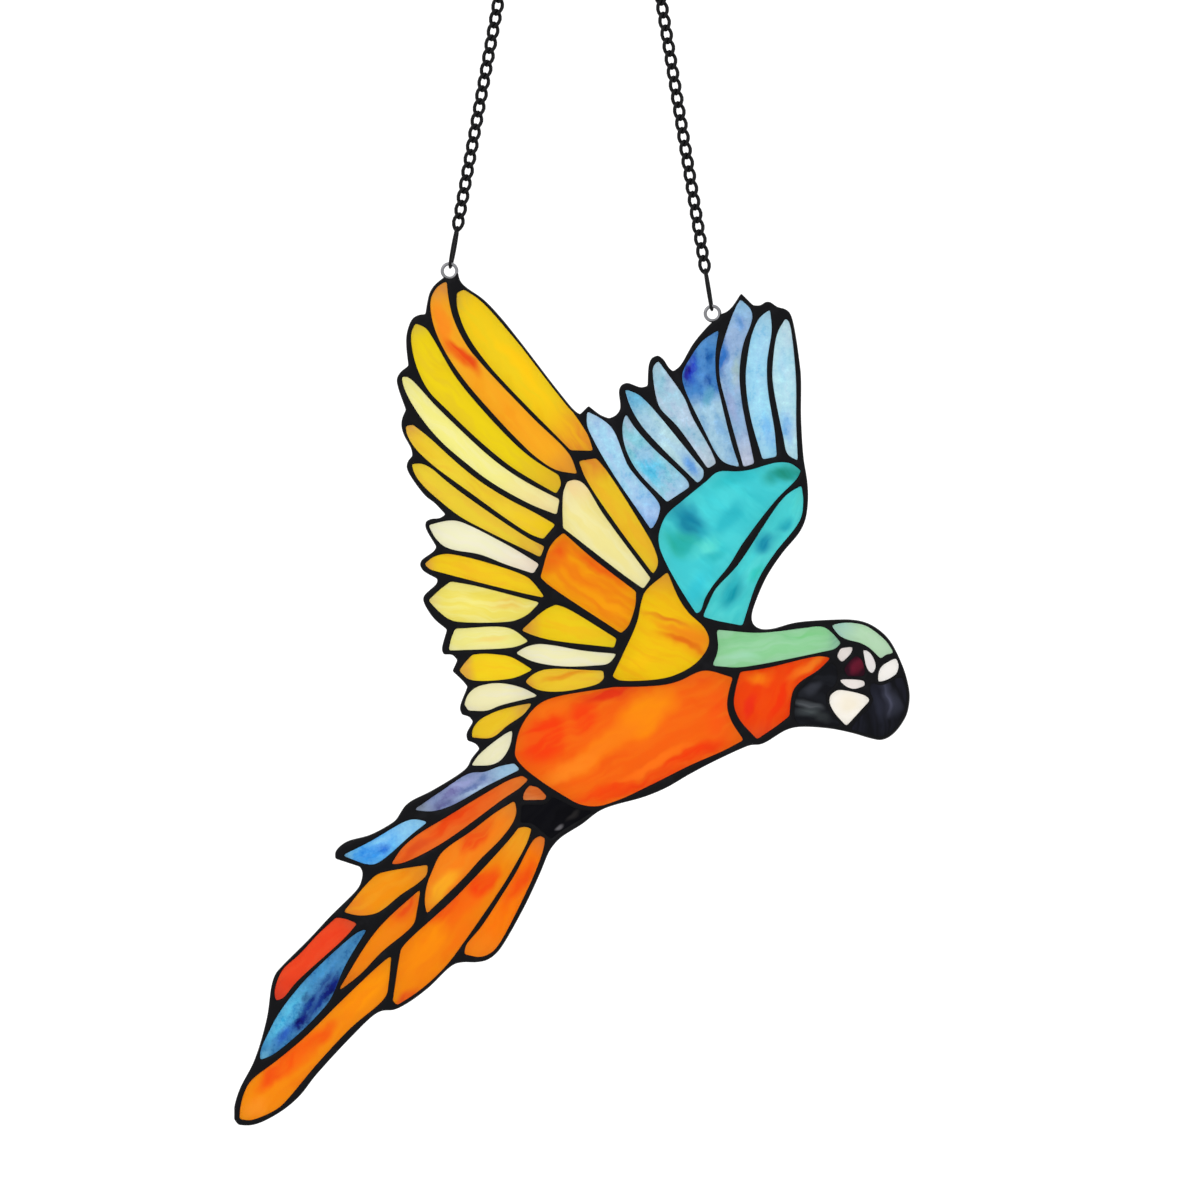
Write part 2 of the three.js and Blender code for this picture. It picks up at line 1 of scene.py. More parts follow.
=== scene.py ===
"""Looks of a leaded glass macaw panel that hangs by two chains from one ring.

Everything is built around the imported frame, in metres: +Z is up, the front faces -Y and the
origin is the inside top of the hanging ring.
"""

import logging
import math
from dataclasses import dataclass, field
from enum import Enum
from typing import ClassVar

import bpy
import numpy as np
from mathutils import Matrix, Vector
from mathutils.geometry import delaunay_2d_cdt
from mathutils.kdtree import KDTree


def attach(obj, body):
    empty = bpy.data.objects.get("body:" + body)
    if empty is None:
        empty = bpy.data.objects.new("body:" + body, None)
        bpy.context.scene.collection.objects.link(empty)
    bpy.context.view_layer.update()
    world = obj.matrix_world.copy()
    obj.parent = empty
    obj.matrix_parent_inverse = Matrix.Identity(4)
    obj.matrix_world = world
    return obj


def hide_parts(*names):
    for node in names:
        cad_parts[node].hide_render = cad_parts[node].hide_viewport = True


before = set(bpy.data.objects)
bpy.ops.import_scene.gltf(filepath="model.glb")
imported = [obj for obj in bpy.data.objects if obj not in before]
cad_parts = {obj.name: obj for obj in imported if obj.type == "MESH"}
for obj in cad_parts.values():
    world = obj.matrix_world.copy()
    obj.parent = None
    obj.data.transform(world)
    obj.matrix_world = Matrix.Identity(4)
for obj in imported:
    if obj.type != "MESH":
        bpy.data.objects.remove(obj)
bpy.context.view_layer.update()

log = logging.getLogger("macaw_panel")

MM = 0.001
BODY = "root"
SEED = 7

# The cartoon that the panes were cut from: squares with x to the right and y down.
PANEL_HEIGHT = 282 * MM
PANEL_SQUARES = 845
SQUARE = PANEL_HEIGHT / PANEL_SQUARES
HANGING_POINT = (584.0, -475.0)
PHOTO_SIDE = 1200

# How far the panes reach past the solids' edges, by which the seams are drawn in as in the photo.
WIDER = 0.31 * MM
HEAD_WIDER = 0.42 * MM
HEAD_CORNER = (735, 600)
# The least width of the solder at the rim, and how far the glass goes into it.
RIM_LEAST = 0.85 * MM
GLASS_LAP = 0.43 * MM

# Limits of the flat geometry, and the turn in degrees above which an edge stays sharp.
TINY = 1e-6
WELD = 2e-3 * MM
FRONT_DEPTH = 0.01 * MM
INSIDE_CONSTRAINTS = 1
CORNER_TURN = 42.0
SHARP_GLASS = 40
SHARP_METAL = 60

# The curve by which a screen shows light.
SCREEN_TOP = 255
SCREEN_KNEE = 0.04045
SCREEN_SLOPE = 12.92
SCREEN_OFFSET = 0.055
SCREEN_POWER = 2.4

Colour = tuple[float, float, float]
Shade = tuple[int, int, int]
Squares = tuple[float, float]
Faces = list[tuple[int, ...]]
Socket = bpy.types.NodeSocket


def place(squares: Squares) -> tuple[float, float]:
    """Turns cartoon squares into X and Z in metres.

    Args:
        squares: A place on the cartoon.

    Returns:
        X and Z in the frame.
    """
    return (
        (squares[0] - HANGING_POINT[0]) * SQUARE,
        (HANGING_POINT[1] - squares[1]) * SQUARE,
    )


def tint(red: int, green: int, blue: int) -> Colour:
    """Turns a colour from 0 to 255 a channel, as a screen shows it, into linear light.

    Args:
        red: The red channel.
        green: The green channel.
        blue: The blue channel.

    Returns:
        The linear colour.
    """

    def channel(value: int) -> float:
        """Straightens one channel.

        Args:
            value: The channel, from 0 to 255.

        Returns:
            The channel in linear light, from 0 to 1.
        """
        share = value / SCREEN_TOP
        if share <= SCREEN_KNEE:
            return share / SCREEN_SLOPE
        return ((share + SCREEN_OFFSET) / (1 + SCREEN_OFFSET)) ** SCREEN_POWER

    return channel(red), channel(green), channel(blue)


class Outlines:
    """Reads, smooths and fills flat outlines. An outline is an array of X and Z in metres."""

    # The least distance from a row to any edge, as a share of its reach.
    ROW_ROOM = 0.9
    # The least distances from the grid to an edge, between rows and from the grid to a row.
    EDGE_ROOM = 0.45
    ROW_CELL = 0.5
    GRID_ROOM = 0.6

    @staticmethod
    def of_front(node: bpy.types.Object) -> list[np.ndarray]:
        """Finds the closed outlines of a node's front face.

        Args:
            node: A node of the frame.

        Returns:
            One array of X and Z for each outline, the largest first.
        """
        mesh = node.data
        mesh.calc_loop_triangles()
        points = np.empty(len(mesh.vertices) * 3)
        mesh.vertices.foreach_get("co", points)
        points = points.reshape(-1, 3)
        triangles = np.empty(len(mesh.loop_triangles) * 3, dtype=np.int64)
        mesh.loop_triangles.foreach_get("vertices", triangles)
        grid = np.round(points / WELD).astype(np.int64)
        _, first, same = np.unique(grid, axis=0, return_index=True, return_inverse=True)
        triangles = same.reshape(-1)[triangles.reshape(-1, 3)]
        points = points[first]
        front = points[:, 1] < points[:, 1].min() + FRONT_DEPTH
        flat = triangles[front[triangles].all(axis=1)]
        edges = {(int(t[i]), int(t[(i + 1) % 3])) for t in flat for i in range(3)}
        following = {a: b for a, b in edges if (b, a) not in edges and a != b}
        outlines = []
        while following:
            start, here = following.popitem()
            outline = [start]
            while here != start:
                outline.append(here)
                here = following.pop(here)
            outlines.append(points[outline][:, [0, 2]])
        return sorted(outlines, key=lambda outline: -abs(Outlines.area(outline)))

    @staticmethod
    def area(outline: np.ndarray) -> float:
        """Gives the area of an outline, positive where it runs anticlockwise."""
        x, z = outline.T
        return float(0.5 * (x * np.roll(z, -1) - np.roll(x, -1) * z).sum())

    @staticmethod
    def curve(points: np.ndarray, steps: int = 8) -> np.ndarray:
        """Runs a smooth line through points whose first and last are only directions.

        Args:
            points: The points to pass through, with one extra at each end.
            steps: The steps between two points.

        Returns:
            The points of the smooth line.
        """
        knots = np.sqrt(np.linalg.norm(np.diff(points, axis=0), axis=1)).clip(TINY)
        pieces = []
        for i in range(1, len(points) - 2):
            p = points[i - 1 : i + 3]
            t = np.concatenate([[0], np.cumsum(knots[i - 1 : i + 2])])
            u = np.linspace(t[1], t[2], steps, endpoint=False)[:, None]
            a = [
                (t[k + 1] - u) / (t[k + 1] - t[k]) * p[k] + (u - t[k]) / (t[k + 1] - t[k]) * p[k + 1]
                for k in range(3)
            ]
            b = [
                (t[k + 2] - u) / (t[k + 2] - t[k]) * a[k] + (u - t[k]) / (t[k + 2] - t[k]) * a[k + 1]
                for k in range(2)
            ]
            pieces.append((t[2] - u) / (t[2] - t[1]) * b[0] + (u - t[1]) / (t[2] - t[1]) * b[1])
        return np.vstack([*pieces, points[-2:-1]])

    @staticmethod
    def even(line: np.ndarray, spacing: float) -> np.ndarray:
        """Spaces the points of an open line evenly, and keeps both its ends.

        Args:
            line: The points of the line.
            spacing: The distance wanted between two of them.

        Returns:
            The new points.
        """
        reach = np.concatenate([[0], np.cumsum(np.linalg.norm(np.diff(line, axis=0), axis=1))])
        count = max(2, round(reach[-1] / spacing) + 1)
        places = np.linspace(0, reach[-1], count)
        return np.column_stack([np.interp(places, reach, line[:, k]) for k in range(2)])

    @staticmethod
    def rounded(outline: np.ndarray, corner: float, spacing: float, passes: int) -> np.ndarray:
        """Smooths an outline between its corners, and then eases the corners a little.

        Args:
            outline: The outline, as straight runs.
            corner: The turn, in degrees, from which a point is a corner.
            spacing: The distance between the new points.
            passes: How often each point moves towards its neighbours.

        Returns:
            The smooth outline.
        """
        before = outline - np.roll(outline, 1, axis=0)
        after = np.roll(outline, -1, axis=0) - outline
        cross = before[:, 0] * after[:, 1] - before[:, 1] * after[:, 0]
        turns = np.degrees(np.abs(np.arctan2(cross, (before * after).sum(axis=1))))
        corners = np.flatnonzero(turns > corner)
        if len(corners) == 0:
            wrapped = np.vstack([outline[-1:], outline, outline[:2]])
            smooth = Outlines.even(Outlines.curve(wrapped), spacing)[:-1]
        else:
            count = len(outline)
            sections = []
            for start, end in zip(corners, np.roll(corners, -1)):
                span = (end - start) % count or count
                run = outline[(start + np.arange(span + 1)) % count]
                ends = (2 * run[:1] - run[1:2], 2 * run[-1:] - run[-2:-1])
                line = Outlines.curve(np.vstack([ends[0], run, ends[1]]))
                sections.append(Outlines.even(line, spacing)[:-1])
            smooth = np.vstack(sections)
        for _ in range(passes):
            smooth = 0.5 * smooth + 0.25 * (np.roll(smooth, 1, axis=0) + np.roll(smooth, -1, axis=0))
        return smooth

    @staticmethod
    def moved_out(outline: np.ndarray, distance: float | np.ndarray) -> np.ndarray:
        """Moves an outline outwards; a sharp corner moves at most root two as far.

        Args:
            outline: The outline, anticlockwise.
            distance: How far, one for all or one for each point.

        Returns:
            The outline with its points moved.
        """
        before = outline - np.roll(outline, 1, axis=0)
        before /= np.linalg.norm(before, axis=1, keepdims=True)
        after = np.roll(before, -1, axis=0)
        out = np.column_stack([before[:, 1] + after[:, 1], -before[:, 0] - after[:, 0]])
        length = np.linalg.norm(out, axis=1, keepdims=True).clip(TINY)
        return outline + out / length * np.minimum(2 / length, math.sqrt(2)) * distance

    @staticmethod
    def as_shown(outline: np.ndarray, rim: np.ndarray, least: float) -> np.ndarray:
        """Moves the edge of a pane or window out to where the photo shows it.

        Args:
            outline: The edge in the solids, anticlockwise.
            rim: The outer edge of the solder.
            least: How far from the rim the edge has to stay.

        Returns:
            The edge as seen, further out on the head, where the seams are finer.
        """
        x, z = outline.mean(axis=0)
        side, top = place(HEAD_CORNER)
        reach = HEAD_WIDER if x > side and z < top else WIDER
        room = Outlines.distances(outline, [rim]) - least
        return Outlines.moved_out(outline, np.minimum(reach, room)[:, None])

    @staticmethod
    def grid_inside(outlines: list[np.ndarray], spacing: float) -> np.ndarray:
        """Lays a three-way grid over a region.

        Args:
            outlines: The edges of the region; one inside another bounds a hole.
            spacing: The distance between neighbours.

        Returns:
            The points of the grid in the region.
        """
        start = np.vstack(outlines)
        end = np.vstack([np.roll(outline, -1, axis=0) for outline in outlines])
        low, high = start.min(axis=0), start.max(axis=0)
        found = []
        for k, z in enumerate(np.arange(low[1], high[1], spacing * math.sin(math.pi / 3))):
            crossed = (start[:, 1] > z) != (end[:, 1] > z)
            a, b = start[crossed], end[crossed]
            edges = np.sort(a[:, 0] + (z - a[:, 1]) / (b[:, 1] - a[:, 1]) * (b[:, 0] - a[:, 0]))
            row = np.arange(low[0] + (k % 2) * spacing / 2, high[0], spacing)
            inside = row[np.searchsorted(edges, row) % 2 == 1]
            found.append(np.column_stack([inside, np.full(len(inside), z)]))
        return np.vstack(found)

    @staticmethod
    def distances(points: np.ndarray, outlines: list[np.ndarray]) -> np.ndarray:
        """Measures how far points are from the nearest of some outlines.

        Args:
            points: X and Z of each point.
            outlines: The outlines, which are sampled four times between two of their points.

        Returns:
            One distance for each point.
        """
        dense = []
        for outline in outlines:
            edge = np.roll(outline, -1, axis=0) - outline
            dense += [outline + quarter / 4 * edge for quarter in range(4)]
        samples = np.vstack(dense)
        tree = KDTree(len(samples))
        for i, (x, z) in enumerate(samples):
            tree.insert((x, 0, z), i)
        tree.balance()
        return np.array([tree.find((x, 0, z))[2] for x, z in points])

    @staticmethod
    def holds(outline: np.ndarray, points: np.ndarray) -> np.ndarray:
        """Tells which points lie inside an outline.

        Args:
            outline: The outline.
            points: X and Z of each point.

        Returns:
            True for each point inside.
        """
        a, b = outline, np.roll(outline, -1, axis=0)
        x, z = points[:, :1], points[:, 1:]
        crossed = (a[:, 1] > z) != (b[:, 1] > z)
        rise = np.where(b[:, 1] == a[:, 1], 1, b[:, 1] - a[:, 1])
        right = x < a[:, 0] + (z - a[:, 1]) / rise * (b[:, 0] - a[:, 0])
        return (crossed & right).sum(axis=1) % 2 == 1

    @staticmethod
    def rows_beside(outlines: list[np.ndarray], reach: float) -> np.ndarray:
        """Lays a row of points along each edge of a region, inside it.

        Args:
            outlines: The outer edge of the region and then its holes, all anticlockwise.
            reach: How far from the edges.

        Returns:
            The points of the rows that are no nearer to another edge.
        """
        rows = [Outlines.moved_out(outlines[0], -reach)]
        rows += [Outlines.moved_out(outline, reach) for outline in outlines[1:]]
        points = np.vstack(rows)
        return points[Outlines.distances(points, outlines) > Outlines.ROW_ROOM * reach]

    @staticmethod
    def filled(
        outlines: list[np.ndarray], spacing: float, rows: tuple[float, ...] = ()
    ) -> tuple[np.ndarray, np.ndarray]:
        """Cuts a region into small even triangles.

        Args:
            outlines: Its outer edge and then its holes; their points come first in the result.
            spacing: The distance between points inside it.
            rows: How far inside its edges more rows of points run along them.

        Returns:
            The points, and the triangles, anticlockwise.
        """
        grid = Outlines.grid_inside(outlines, spacing)
        grid = grid[Outlines.distances(grid, outlines) > Outlines.EDGE_ROOM * spacing]
        if rows:
            along = np.vstack([Outlines.rows_beside(outlines, reach) for reach in rows])
            cells = np.floor(along / (Outlines.ROW_CELL * spacing)).astype(int)
            firsts = np.sort(np.unique(cells, axis=0, return_index=True)[1])
            along = along[firsts]
            grid = grid[Outlines.distances(grid, [along]) > Outlines.GRID_ROOM * spacing]
            grid = np.vstack([along, grid])
        points = np.vstack([*outlines, grid])
        edges = []
        owner = np.full(len(points), -1)
        first = 0
        for number, outline in enumerate(outlines):
            count = len(outline)
            edges += [(first + i, first + (i + 1) % count) for i in range(count)]
            owner[first : first + count] = number
            first += count
        flat = [Vector((x / MM, z / MM)) for x, z in points]
        cut = delaunay_2d_cdt(flat, edges, [], INSIDE_CONSTRAINTS, TINY)
        index = [names[0] if names else -1 for names in cut[3]]
        triangles = np.array([[index[i] for i in face] for face in cut[2]])
        middles = points[triangles].mean(axis=1)
        kept = np.ones(len(triangles), dtype=bool)
        for number, outline in enumerate(outlines[1:], 1):
            near = np.flatnonzero((owner[triangles] == number).all(axis=1))
            kept[near] = ~Outlines.holds(outline, middles[near])
        triangles = triangles[kept]
        a, b, c = (points[triangles[:, k]] for k in range(3))
        turn = (b[:, 0] - a[:, 0]) * (c[:, 1] - a[:, 1]) - (b[:, 1] - a[:, 1]) * (c[:, 0] - a[:, 0])
        triangles[turn < 0] = triangles[turn < 0][:, ::-1]
        return points, triangles


def unevenness(points: np.ndarray, wavelength: float, seed: int) -> np.ndarray:
    """Gives a gentle waviness between about -1 and 1 over a plane.

    Args:
        points: X and Z of each point.
        wavelength: The usual distance from crest to crest.
        seed: Which of the many patterns.

    Returns:
        One height for each point.
    """
    random = np.random.default_rng(seed)
    waves, shortest, longest = 7, 0.7, 1.6
    total = np.zeros(len(points))
    for _ in range(waves):
        angle = random.uniform(0, math.pi)
        number = 2 * math.pi / (wavelength * random.uniform(shortest, longest))
        run = points @ np.array([math.cos(angle), math.sin(angle)])
        total += np.sin(number * run + random.uniform(0, 2 * math.pi))
    return total / math.sqrt(waves)


def body_of(name: str, points: np.ndarray, faces: Faces, sharp: float) -> bpy.types.Object:
    """Makes a named object of points and faces, with smooth shading up to an angle.

    Args:
        name: The name of the piece.
        points: The points, in metres.
        faces: The corners of each face.
        sharp: The angle in degrees above which an edge stays sharp.

    Returns:
        The object, linked to the scene.
    """
    mesh = bpy.data.meshes.new(name)
    mesh.from_pydata(points.tolist(), [], faces)
    mesh.shade_smooth()
    mesh.set_sharp_from_angle(angle=math.radians(sharp))
    made = bpy.data.objects.new(name, mesh)
    bpy.context.scene.collection.objects.link(made)
    return made


def strip(near: range, far: range) -> list[tuple[int, int, int, int]]:
    """Joins two rings of points of equal length by four-sided faces."""
    count = len(near)
    return [(near[i], near[(i + 1) % count], far[(i + 1) % count], far[i]) for i in range(count)]


def two_sheets(triangles: np.ndarray, count: int) -> Faces:
    """Gives the faces of a front sheet and of the same sheet at the back, turned over.

    Args:
        triangles: The triangles of the front.
        count: How many points the front has; those of the back follow them.

    Returns:
        The faces of both.
    """
    faces = [tuple(corners) for corners in triangles.tolist()]
    return faces + [tuple(count + i for i in reversed(corners)) for corners in faces]


def solid(colour: object) -> object:
    """Gives a plain colour its full opacity, and an output as it is."""
    return (*colour, 1.0) if isinstance(colour, tuple) else colour


class Tree:
    """Adds nodes to a tree and joins them."""

    def __init__(self, tree: bpy.types.NodeTree) -> None:
        """Keeps the tree."""
        self.tree = tree

    def link(self, source: object, target: Socket) -> None:
        """Sets a socket to a plain value, or links it to another node's output.

        Args:
            source: The value or the output.
            target: The socket to feed.
        """
        if isinstance(source, Socket):
            self.tree.links.new(source, target)
        else:
            target.default_value = source

    def node(self, kind: str, **inputs: object) -> bpy.types.Node:
        """Adds a node and feeds its inputs.

        Args:
            kind: Blender's name for the node.
            inputs: A value or an output for each input, named with underscores for spaces.

        Returns:
            The node.
        """
        made = self.tree.nodes.new(kind)
        for name, value in inputs.items():
            self.link(value, made.inputs[name.replace("_", " ")])
        return made

    def vector(self, operation: str, first: object, second: object = None) -> Socket:
        """Adds a vector step.

        Args:
            operation: Blender's name for the step.
            first: A value or an output.
            second: Another, where the step takes two.

        Returns:
            The result.
        """
        node = self.tree.nodes.new("ShaderNodeVectorMath")
        node.operation = operation
        self.link(first, node.inputs[0])
        if second is not None:
            self.link(second, node.inputs[1])
        return node.outputs["Value" if operation in ("DOT_PRODUCT", "LENGTH") else "Vector"]


class Nodes(Tree):
    """Builds the nodes of one material, each line in a plain step."""

    # How much brighter the pale places are, and the power that deepens the deep ones.
    PALER = 1.25
    DEEPER = 1.7

    def __init__(self, name: str) -> None:
        """Starts an empty material.

        Args:
            name: The name of the material.
        """
        self.material = bpy.data.materials.new(name)
        self.material.use_nodes = True
        super().__init__(self.material.node_tree)
        self.tree.nodes.clear()
        self.output = self.node("ShaderNodeOutputMaterial")
        self.object_place = self.node("ShaderNodeTexCoord").outputs["Object"]

    def turned(self, places: Socket, angle: float) -> Socket:
        """Turns places about Y, so that X runs along a direction at this angle above +X."""
        return self.node("ShaderNodeMapping", Vector=places, Rotation=(0, angle, 0)).outputs["Vector"]

    def noise(self, places: Socket, scale: float, detail: float, rough: float) -> Socket:
        """Gives a noise over some places, from its scale, its finer layers and their strength."""
        made = self.noise_node(places, scale, detail, rough)
        return made.outputs["Fac"]

    def noise_node(self, places: Socket, scale: float, detail: float, rough: float) -> bpy.types.Node:
        """Adds the node of a noise."""
        kind = "ShaderNodeTexNoise"
        return self.node(kind, Vector=places, Scale=scale, Detail=detail, Roughness=rough)

    def ranged(self, source: Socket, low: float, high: float, most: float) -> Socket:
        """Turns a value into a smooth share.

        Args:
            source: The value.
            low: Where the share is 0.
            high: Where the share is full.
            most: The full share.

        Returns:
            The share.
        """
        kind = "ShaderNodeMapRange"
        node = self.node(kind, Value=source, From_Min=low, From_Max=high, To_Max=most)
        node.interpolation_type = "SMOOTHSTEP"
        return node.outputs["Result"]

    def mixed(self, share: Socket, under: object, over: object) -> Socket:
        """Lays one colour over another.

        Args:
            share: How much of the upper colour shows, from 0 to 1.
            under: The lower colour.
            over: The upper colour.

        Returns:
            The mixed colour.
        """
        node = self.tree.nodes.new("ShaderNodeMix")
        node.data_type = "RGBA"
        self.link(share, node.inputs["Factor"])
        colours = [socket for socket in node.inputs if socket.type == "RGBA"]
        self.link(solid(under), colours[0])
        self.link(solid(over), colours[1])
        return next(socket for socket in node.outputs if socket.type == "RGBA")

    def paler(self, colour: object) -> Socket:
        """Gives the same glass where it is thinner or whiter."""
        brighter = self.vector("MULTIPLY", colour, (self.PALER,) * 3)
        return self.vector("MINIMUM", brighter, (1.0, 1.0, 1.0))

    def deeper(self, colour: object) -> Socket:
        """Gives the same glass where its colour is stronger."""
        made = self.node("ShaderNodeGamma", Color=solid(colour), Gamma=self.DEEPER)
        return made.outputs["Color"]

    def bump(self, height: Socket, depth: float, strength: float) -> Socket:
        """Turns a height into a bent normal."""
        made = self.node("ShaderNodeBump", Height=height, Distance=depth, Strength=strength)
        return made.outputs["Normal"]

    def principled(self, **values: object) -> Socket:
        """Adds the main shader, with a value or an output for each named input."""
        inputs = {name: solid(value) for name, value in values.items()}
        return self.node("ShaderNodeBsdfPrincipled", **inputs).outputs["BSDF"]

    def finish(self, shader: Socket) -> bpy.types.Material:
        """Puts a shader on the surface and returns the material."""
        self.link(shader, self.output.inputs["Surface"])
        return self.material


@dataclass(frozen=True)
class Patch:
    """A soft spot or streak of another colour in the glass, or a painted highlight on black glass, in
    cartoon squares.

    It leans by `lean` degrees, or else along the grain, and is full out to `core` of its size.
    """

    at: Squares
    colour: Shade
    long: float
    wide: float
    most: float = 0.85
    lean: float | None = None
    core: float = 0.15


@dataclass(frozen=True)
class Fade:
    """A change of colour from one place to another, in cartoon squares."""

    start: Squares
    end: Squares
    colour: Shade
    most: float = 1.0


@dataclass(frozen=True)
class Grain:
    """A noise in the glass: its scale along and across, its finer layers and the range that shows."""

    along: float
    across: float
    detail: float
    rough: float
    low: float
    high: float

    def share(self, nodes: Nodes, places: Socket, angle: float, most: float) -> Socket:
        """Builds the share by which this noise colours the glass.

        Args:
            nodes: The material's nodes.
            places: The places to colour.
            angle: The direction of the grain, in radians above +X.
            most: The full share.

        Returns:
            The share, from 0 to the most.
        """
        size = (self.along, 0.0, self.across)
        stretched = nodes.vector("MULTIPLY", nodes.turned(places, angle), size)
        noise = nodes.noise(stretched, 1.0, self.detail, self.rough)
        return nodes.ranged(noise, self.low, self.high, most)


@dataclass(frozen=True)
class StreakyGlass:
    """Opalescent sheet: a base colour, wispy streaks along its grain, fades and patches."""

    # A noise is a scale, its detail and its roughness; a range runs from no share to the full one.
    CLOUDS: ClassVar[Grain] = Grain(70.0, 190.0, 4.0, 0.6, 0.48, 0.78)
    SWELLS: ClassVar[Grain] = Grain(42.0, 105.0, 3.0, 0.6, 0.5, 0.3)
    WISP_DETAIL: ClassVar[tuple[float, float]] = (3.0, 0.55)
    WISP_RANGE: ClassVar[tuple[float, float]] = (0.42, 0.62)
    MOTTLE: ClassVar[tuple[float, float, float]] = (330.0, 5.0, 0.75)
    MOTTLE_DEEP: ClassVar[tuple[float, float]] = (0.5, 0.3)
    MOTTLE_PALE: ClassVar[tuple[float, float]] = (0.48, 0.68)
    WANDER_SCALE: ClassVar[float] = 95.0
    WANDER_REACH: ClassVar[float] = 7 * MM
    WANDER_PLAIN: ClassVar[tuple[float, float]] = (2.0, 0.5)
    WANDER_MOTTLED: ClassVar[tuple[float, float]] = (7.0, 0.72)
    ROUGHNESS: ClassVar[float] = 0.16

    slot: str
    base: Shade
    streak: Shade | None = None
    streaks: float = 0.5
    grain: float | None = None
    marks: tuple[Patch | Fade, ...] = ()
    clouds: float = 0.16
    depths: float = 0.3
    mottle: float = 0.0
    streak_length: float = 26 * MM
    streak_width: float = 3 * MM
    shine: float = 0.1
    through: float = 0.42

    def dress(self, name: str, outline: np.ndarray) -> bpy.types.Material:
        """Builds the material of one pane.

        Args:
            name: The pane.
            outline: The outline of the pane, which gives its grain where none is set.

        Returns:
            The material.
        """
        nodes = Nodes("glass_" + name)
        angle = self.grain_of(outline)
        spot = self.wandering(nodes)
        colour: object = tint(*self.base)
        for mark in self.marks:
            share = self.share_of(nodes, mark, spot, angle)
            colour = nodes.mixed(share, colour, tint(*mark.colour))
        if self.streak is not None:
            long, wide = 1 / self.streak_length, 1 / self.streak_width
            wisps = Grain(long, wide, *self.WISP_DETAIL, *self.WISP_RANGE)
            share = wisps.share(nodes, spot, angle, self.streaks)
            colour = nodes.mixed(share, colour, tint(*self.streak))
        cloud = self.CLOUDS.share(nodes, nodes.object_place, angle, self.clouds)
        colour = nodes.mixed(cloud, colour, nodes.paler(colour))
        swell = self.SWELLS.share(nodes, spot, angle, self.depths)
        colour = nodes.mixed(swell, colour, nodes.deeper(colour))
        if self.mottle > 0:
            spots = nodes.noise(nodes.object_place, *self.MOTTLE)
            pale, deep = nodes.paler(colour), nodes.deeper(colour)
            colour = nodes.mixed(nodes.ranged(spots, *self.MOTTLE_DEEP, self.mottle), colour, deep)
            colour = nodes.mixed(nodes.ranged(spots, *self.MOTTLE_PALE, self.mottle), colour, pale)
        shader = nodes.principled(
            Base_Color=colour, Roughness=self.ROUGHNESS, Specular_IOR_Level=self.shine
        )
        if self.through > 0:
            shader = self.lit_through(nodes, shader, colour)
        return nodes.finish(shader)

    def wandering(self, nodes: Nodes) -> Socket:
        """Pushes the places of the glass about, which gives the marks ragged edges.

        Args:
            nodes: The material's nodes.

        Returns:
            The places.
        """
        detail, rough = self.WANDER_MOTTLED if self.mottle > 0 else self.WANDER_PLAIN
        noise = nodes.noise_node(nodes.object_place, self.WANDER_SCALE, detail, rough)
        wander = nodes.vector("SUBTRACT", noise.outputs["Color"], (0.5, 0.5, 0.5))
        wander = nodes.vector("MULTIPLY", wander, (self.WANDER_REACH, 0.0, self.WANDER_REACH))
        return nodes.vector("ADD", nodes.object_place, wander)

    def lit_through(self, nodes: Nodes, shader: Socket, colour: object) -> Socket:
        """Lets some of the light from behind through the glass.

        Args:
            nodes: The material's nodes.
            shader: The shader of the surface.
            colour: The colour of the light that comes through.

        Returns:
            The two together.
        """
        back = nodes.node("ShaderNodeBsdfTranslucent", Color=colour).outputs["BSDF"]
        both = nodes.node("ShaderNodeMixShader", Fac=self.through)
        nodes.link(shader, both.inputs[1])
        nodes.link(back, both.inputs[2])
        return both.outputs["Shader"]

    def grain_of(self, outline: np.ndarray) -> float:
        """Gives the direction of the grain.

        Args:
            outline: The pane, whose long way is taken where none is set.

        Returns:
            The direction, in radians above +X.
        """
        if self.grain is not None:
            return math.radians(self.grain)
        centred = outline - outline.mean(axis=0)
        _, directions = np.linalg.eigh(centred.T @ centred)
        x, z = directions[:, -1]
        return math.atan2(z, x)

    @staticmethod
    def share_of(nodes: Nodes, mark: Patch | Fade, spot: Socket, angle: float) -> Socket:
        """Builds the share by which a mark covers the glass.

        Args:
            nodes: The material's nodes.
            mark: The patch or fade.
            spot: The places to colour.
            angle: The grain, along which a patch is long.

        Returns:
            The share, from 0 to the mark's most.
        """
        if isinstance(mark, Fade):
            start, end = np.array(place(mark.start)), np.array(place(mark.end))
            run = (end - start) / ((end - start) @ (end - start))
            from_start = nodes.vector("SUBTRACT", spot, (start[0], 0.0, start[1]))
            reach = nodes.vector("DOT_PRODUCT", from_start, (run[0], 0.0, run[1]))
            return nodes.ranged(reach, 0.0, 1.0, mark.most)
        x, z = place(mark.at)
        lean = angle if mark.lean is None else math.radians(mark.lean)
        around = nodes.turned(nodes.vector("SUBTRACT", spot, (x, 0.0, z)), lean)
        size = (1 / (mark.long * SQUARE), 0.0, 1 / (mark.wide * SQUARE))
        away = nodes.vector("LENGTH", nodes.vector("MULTIPLY", around, size))
        return nodes.ranged(away, 1.0, mark.core, mark.most)


@dataclass(frozen=True)
class MottledGlass(StreakyGlass):
    """Glass with short streaks and a fine mottle, as in the blue feathers."""

    mottle: float = 0.85
    streak_length: float = 10 * MM
    streak_width: float = 4 * MM


@dataclass(frozen=True)
class FlameGlass(StreakyGlass):
    """Orange glass whose colour lies in large spots, with few streaks and no clouds."""

    streaks: float = 0.35
    streak_width: float = 4 * MM
    clouds: float = 0.0


@dataclass(frozen=True)
class BlackGlass(StreakyGlass):
    """Black glass, which lets no light through."""

    clouds: float = 0.0
    shine: float = 0.05
    through: float = 0.0


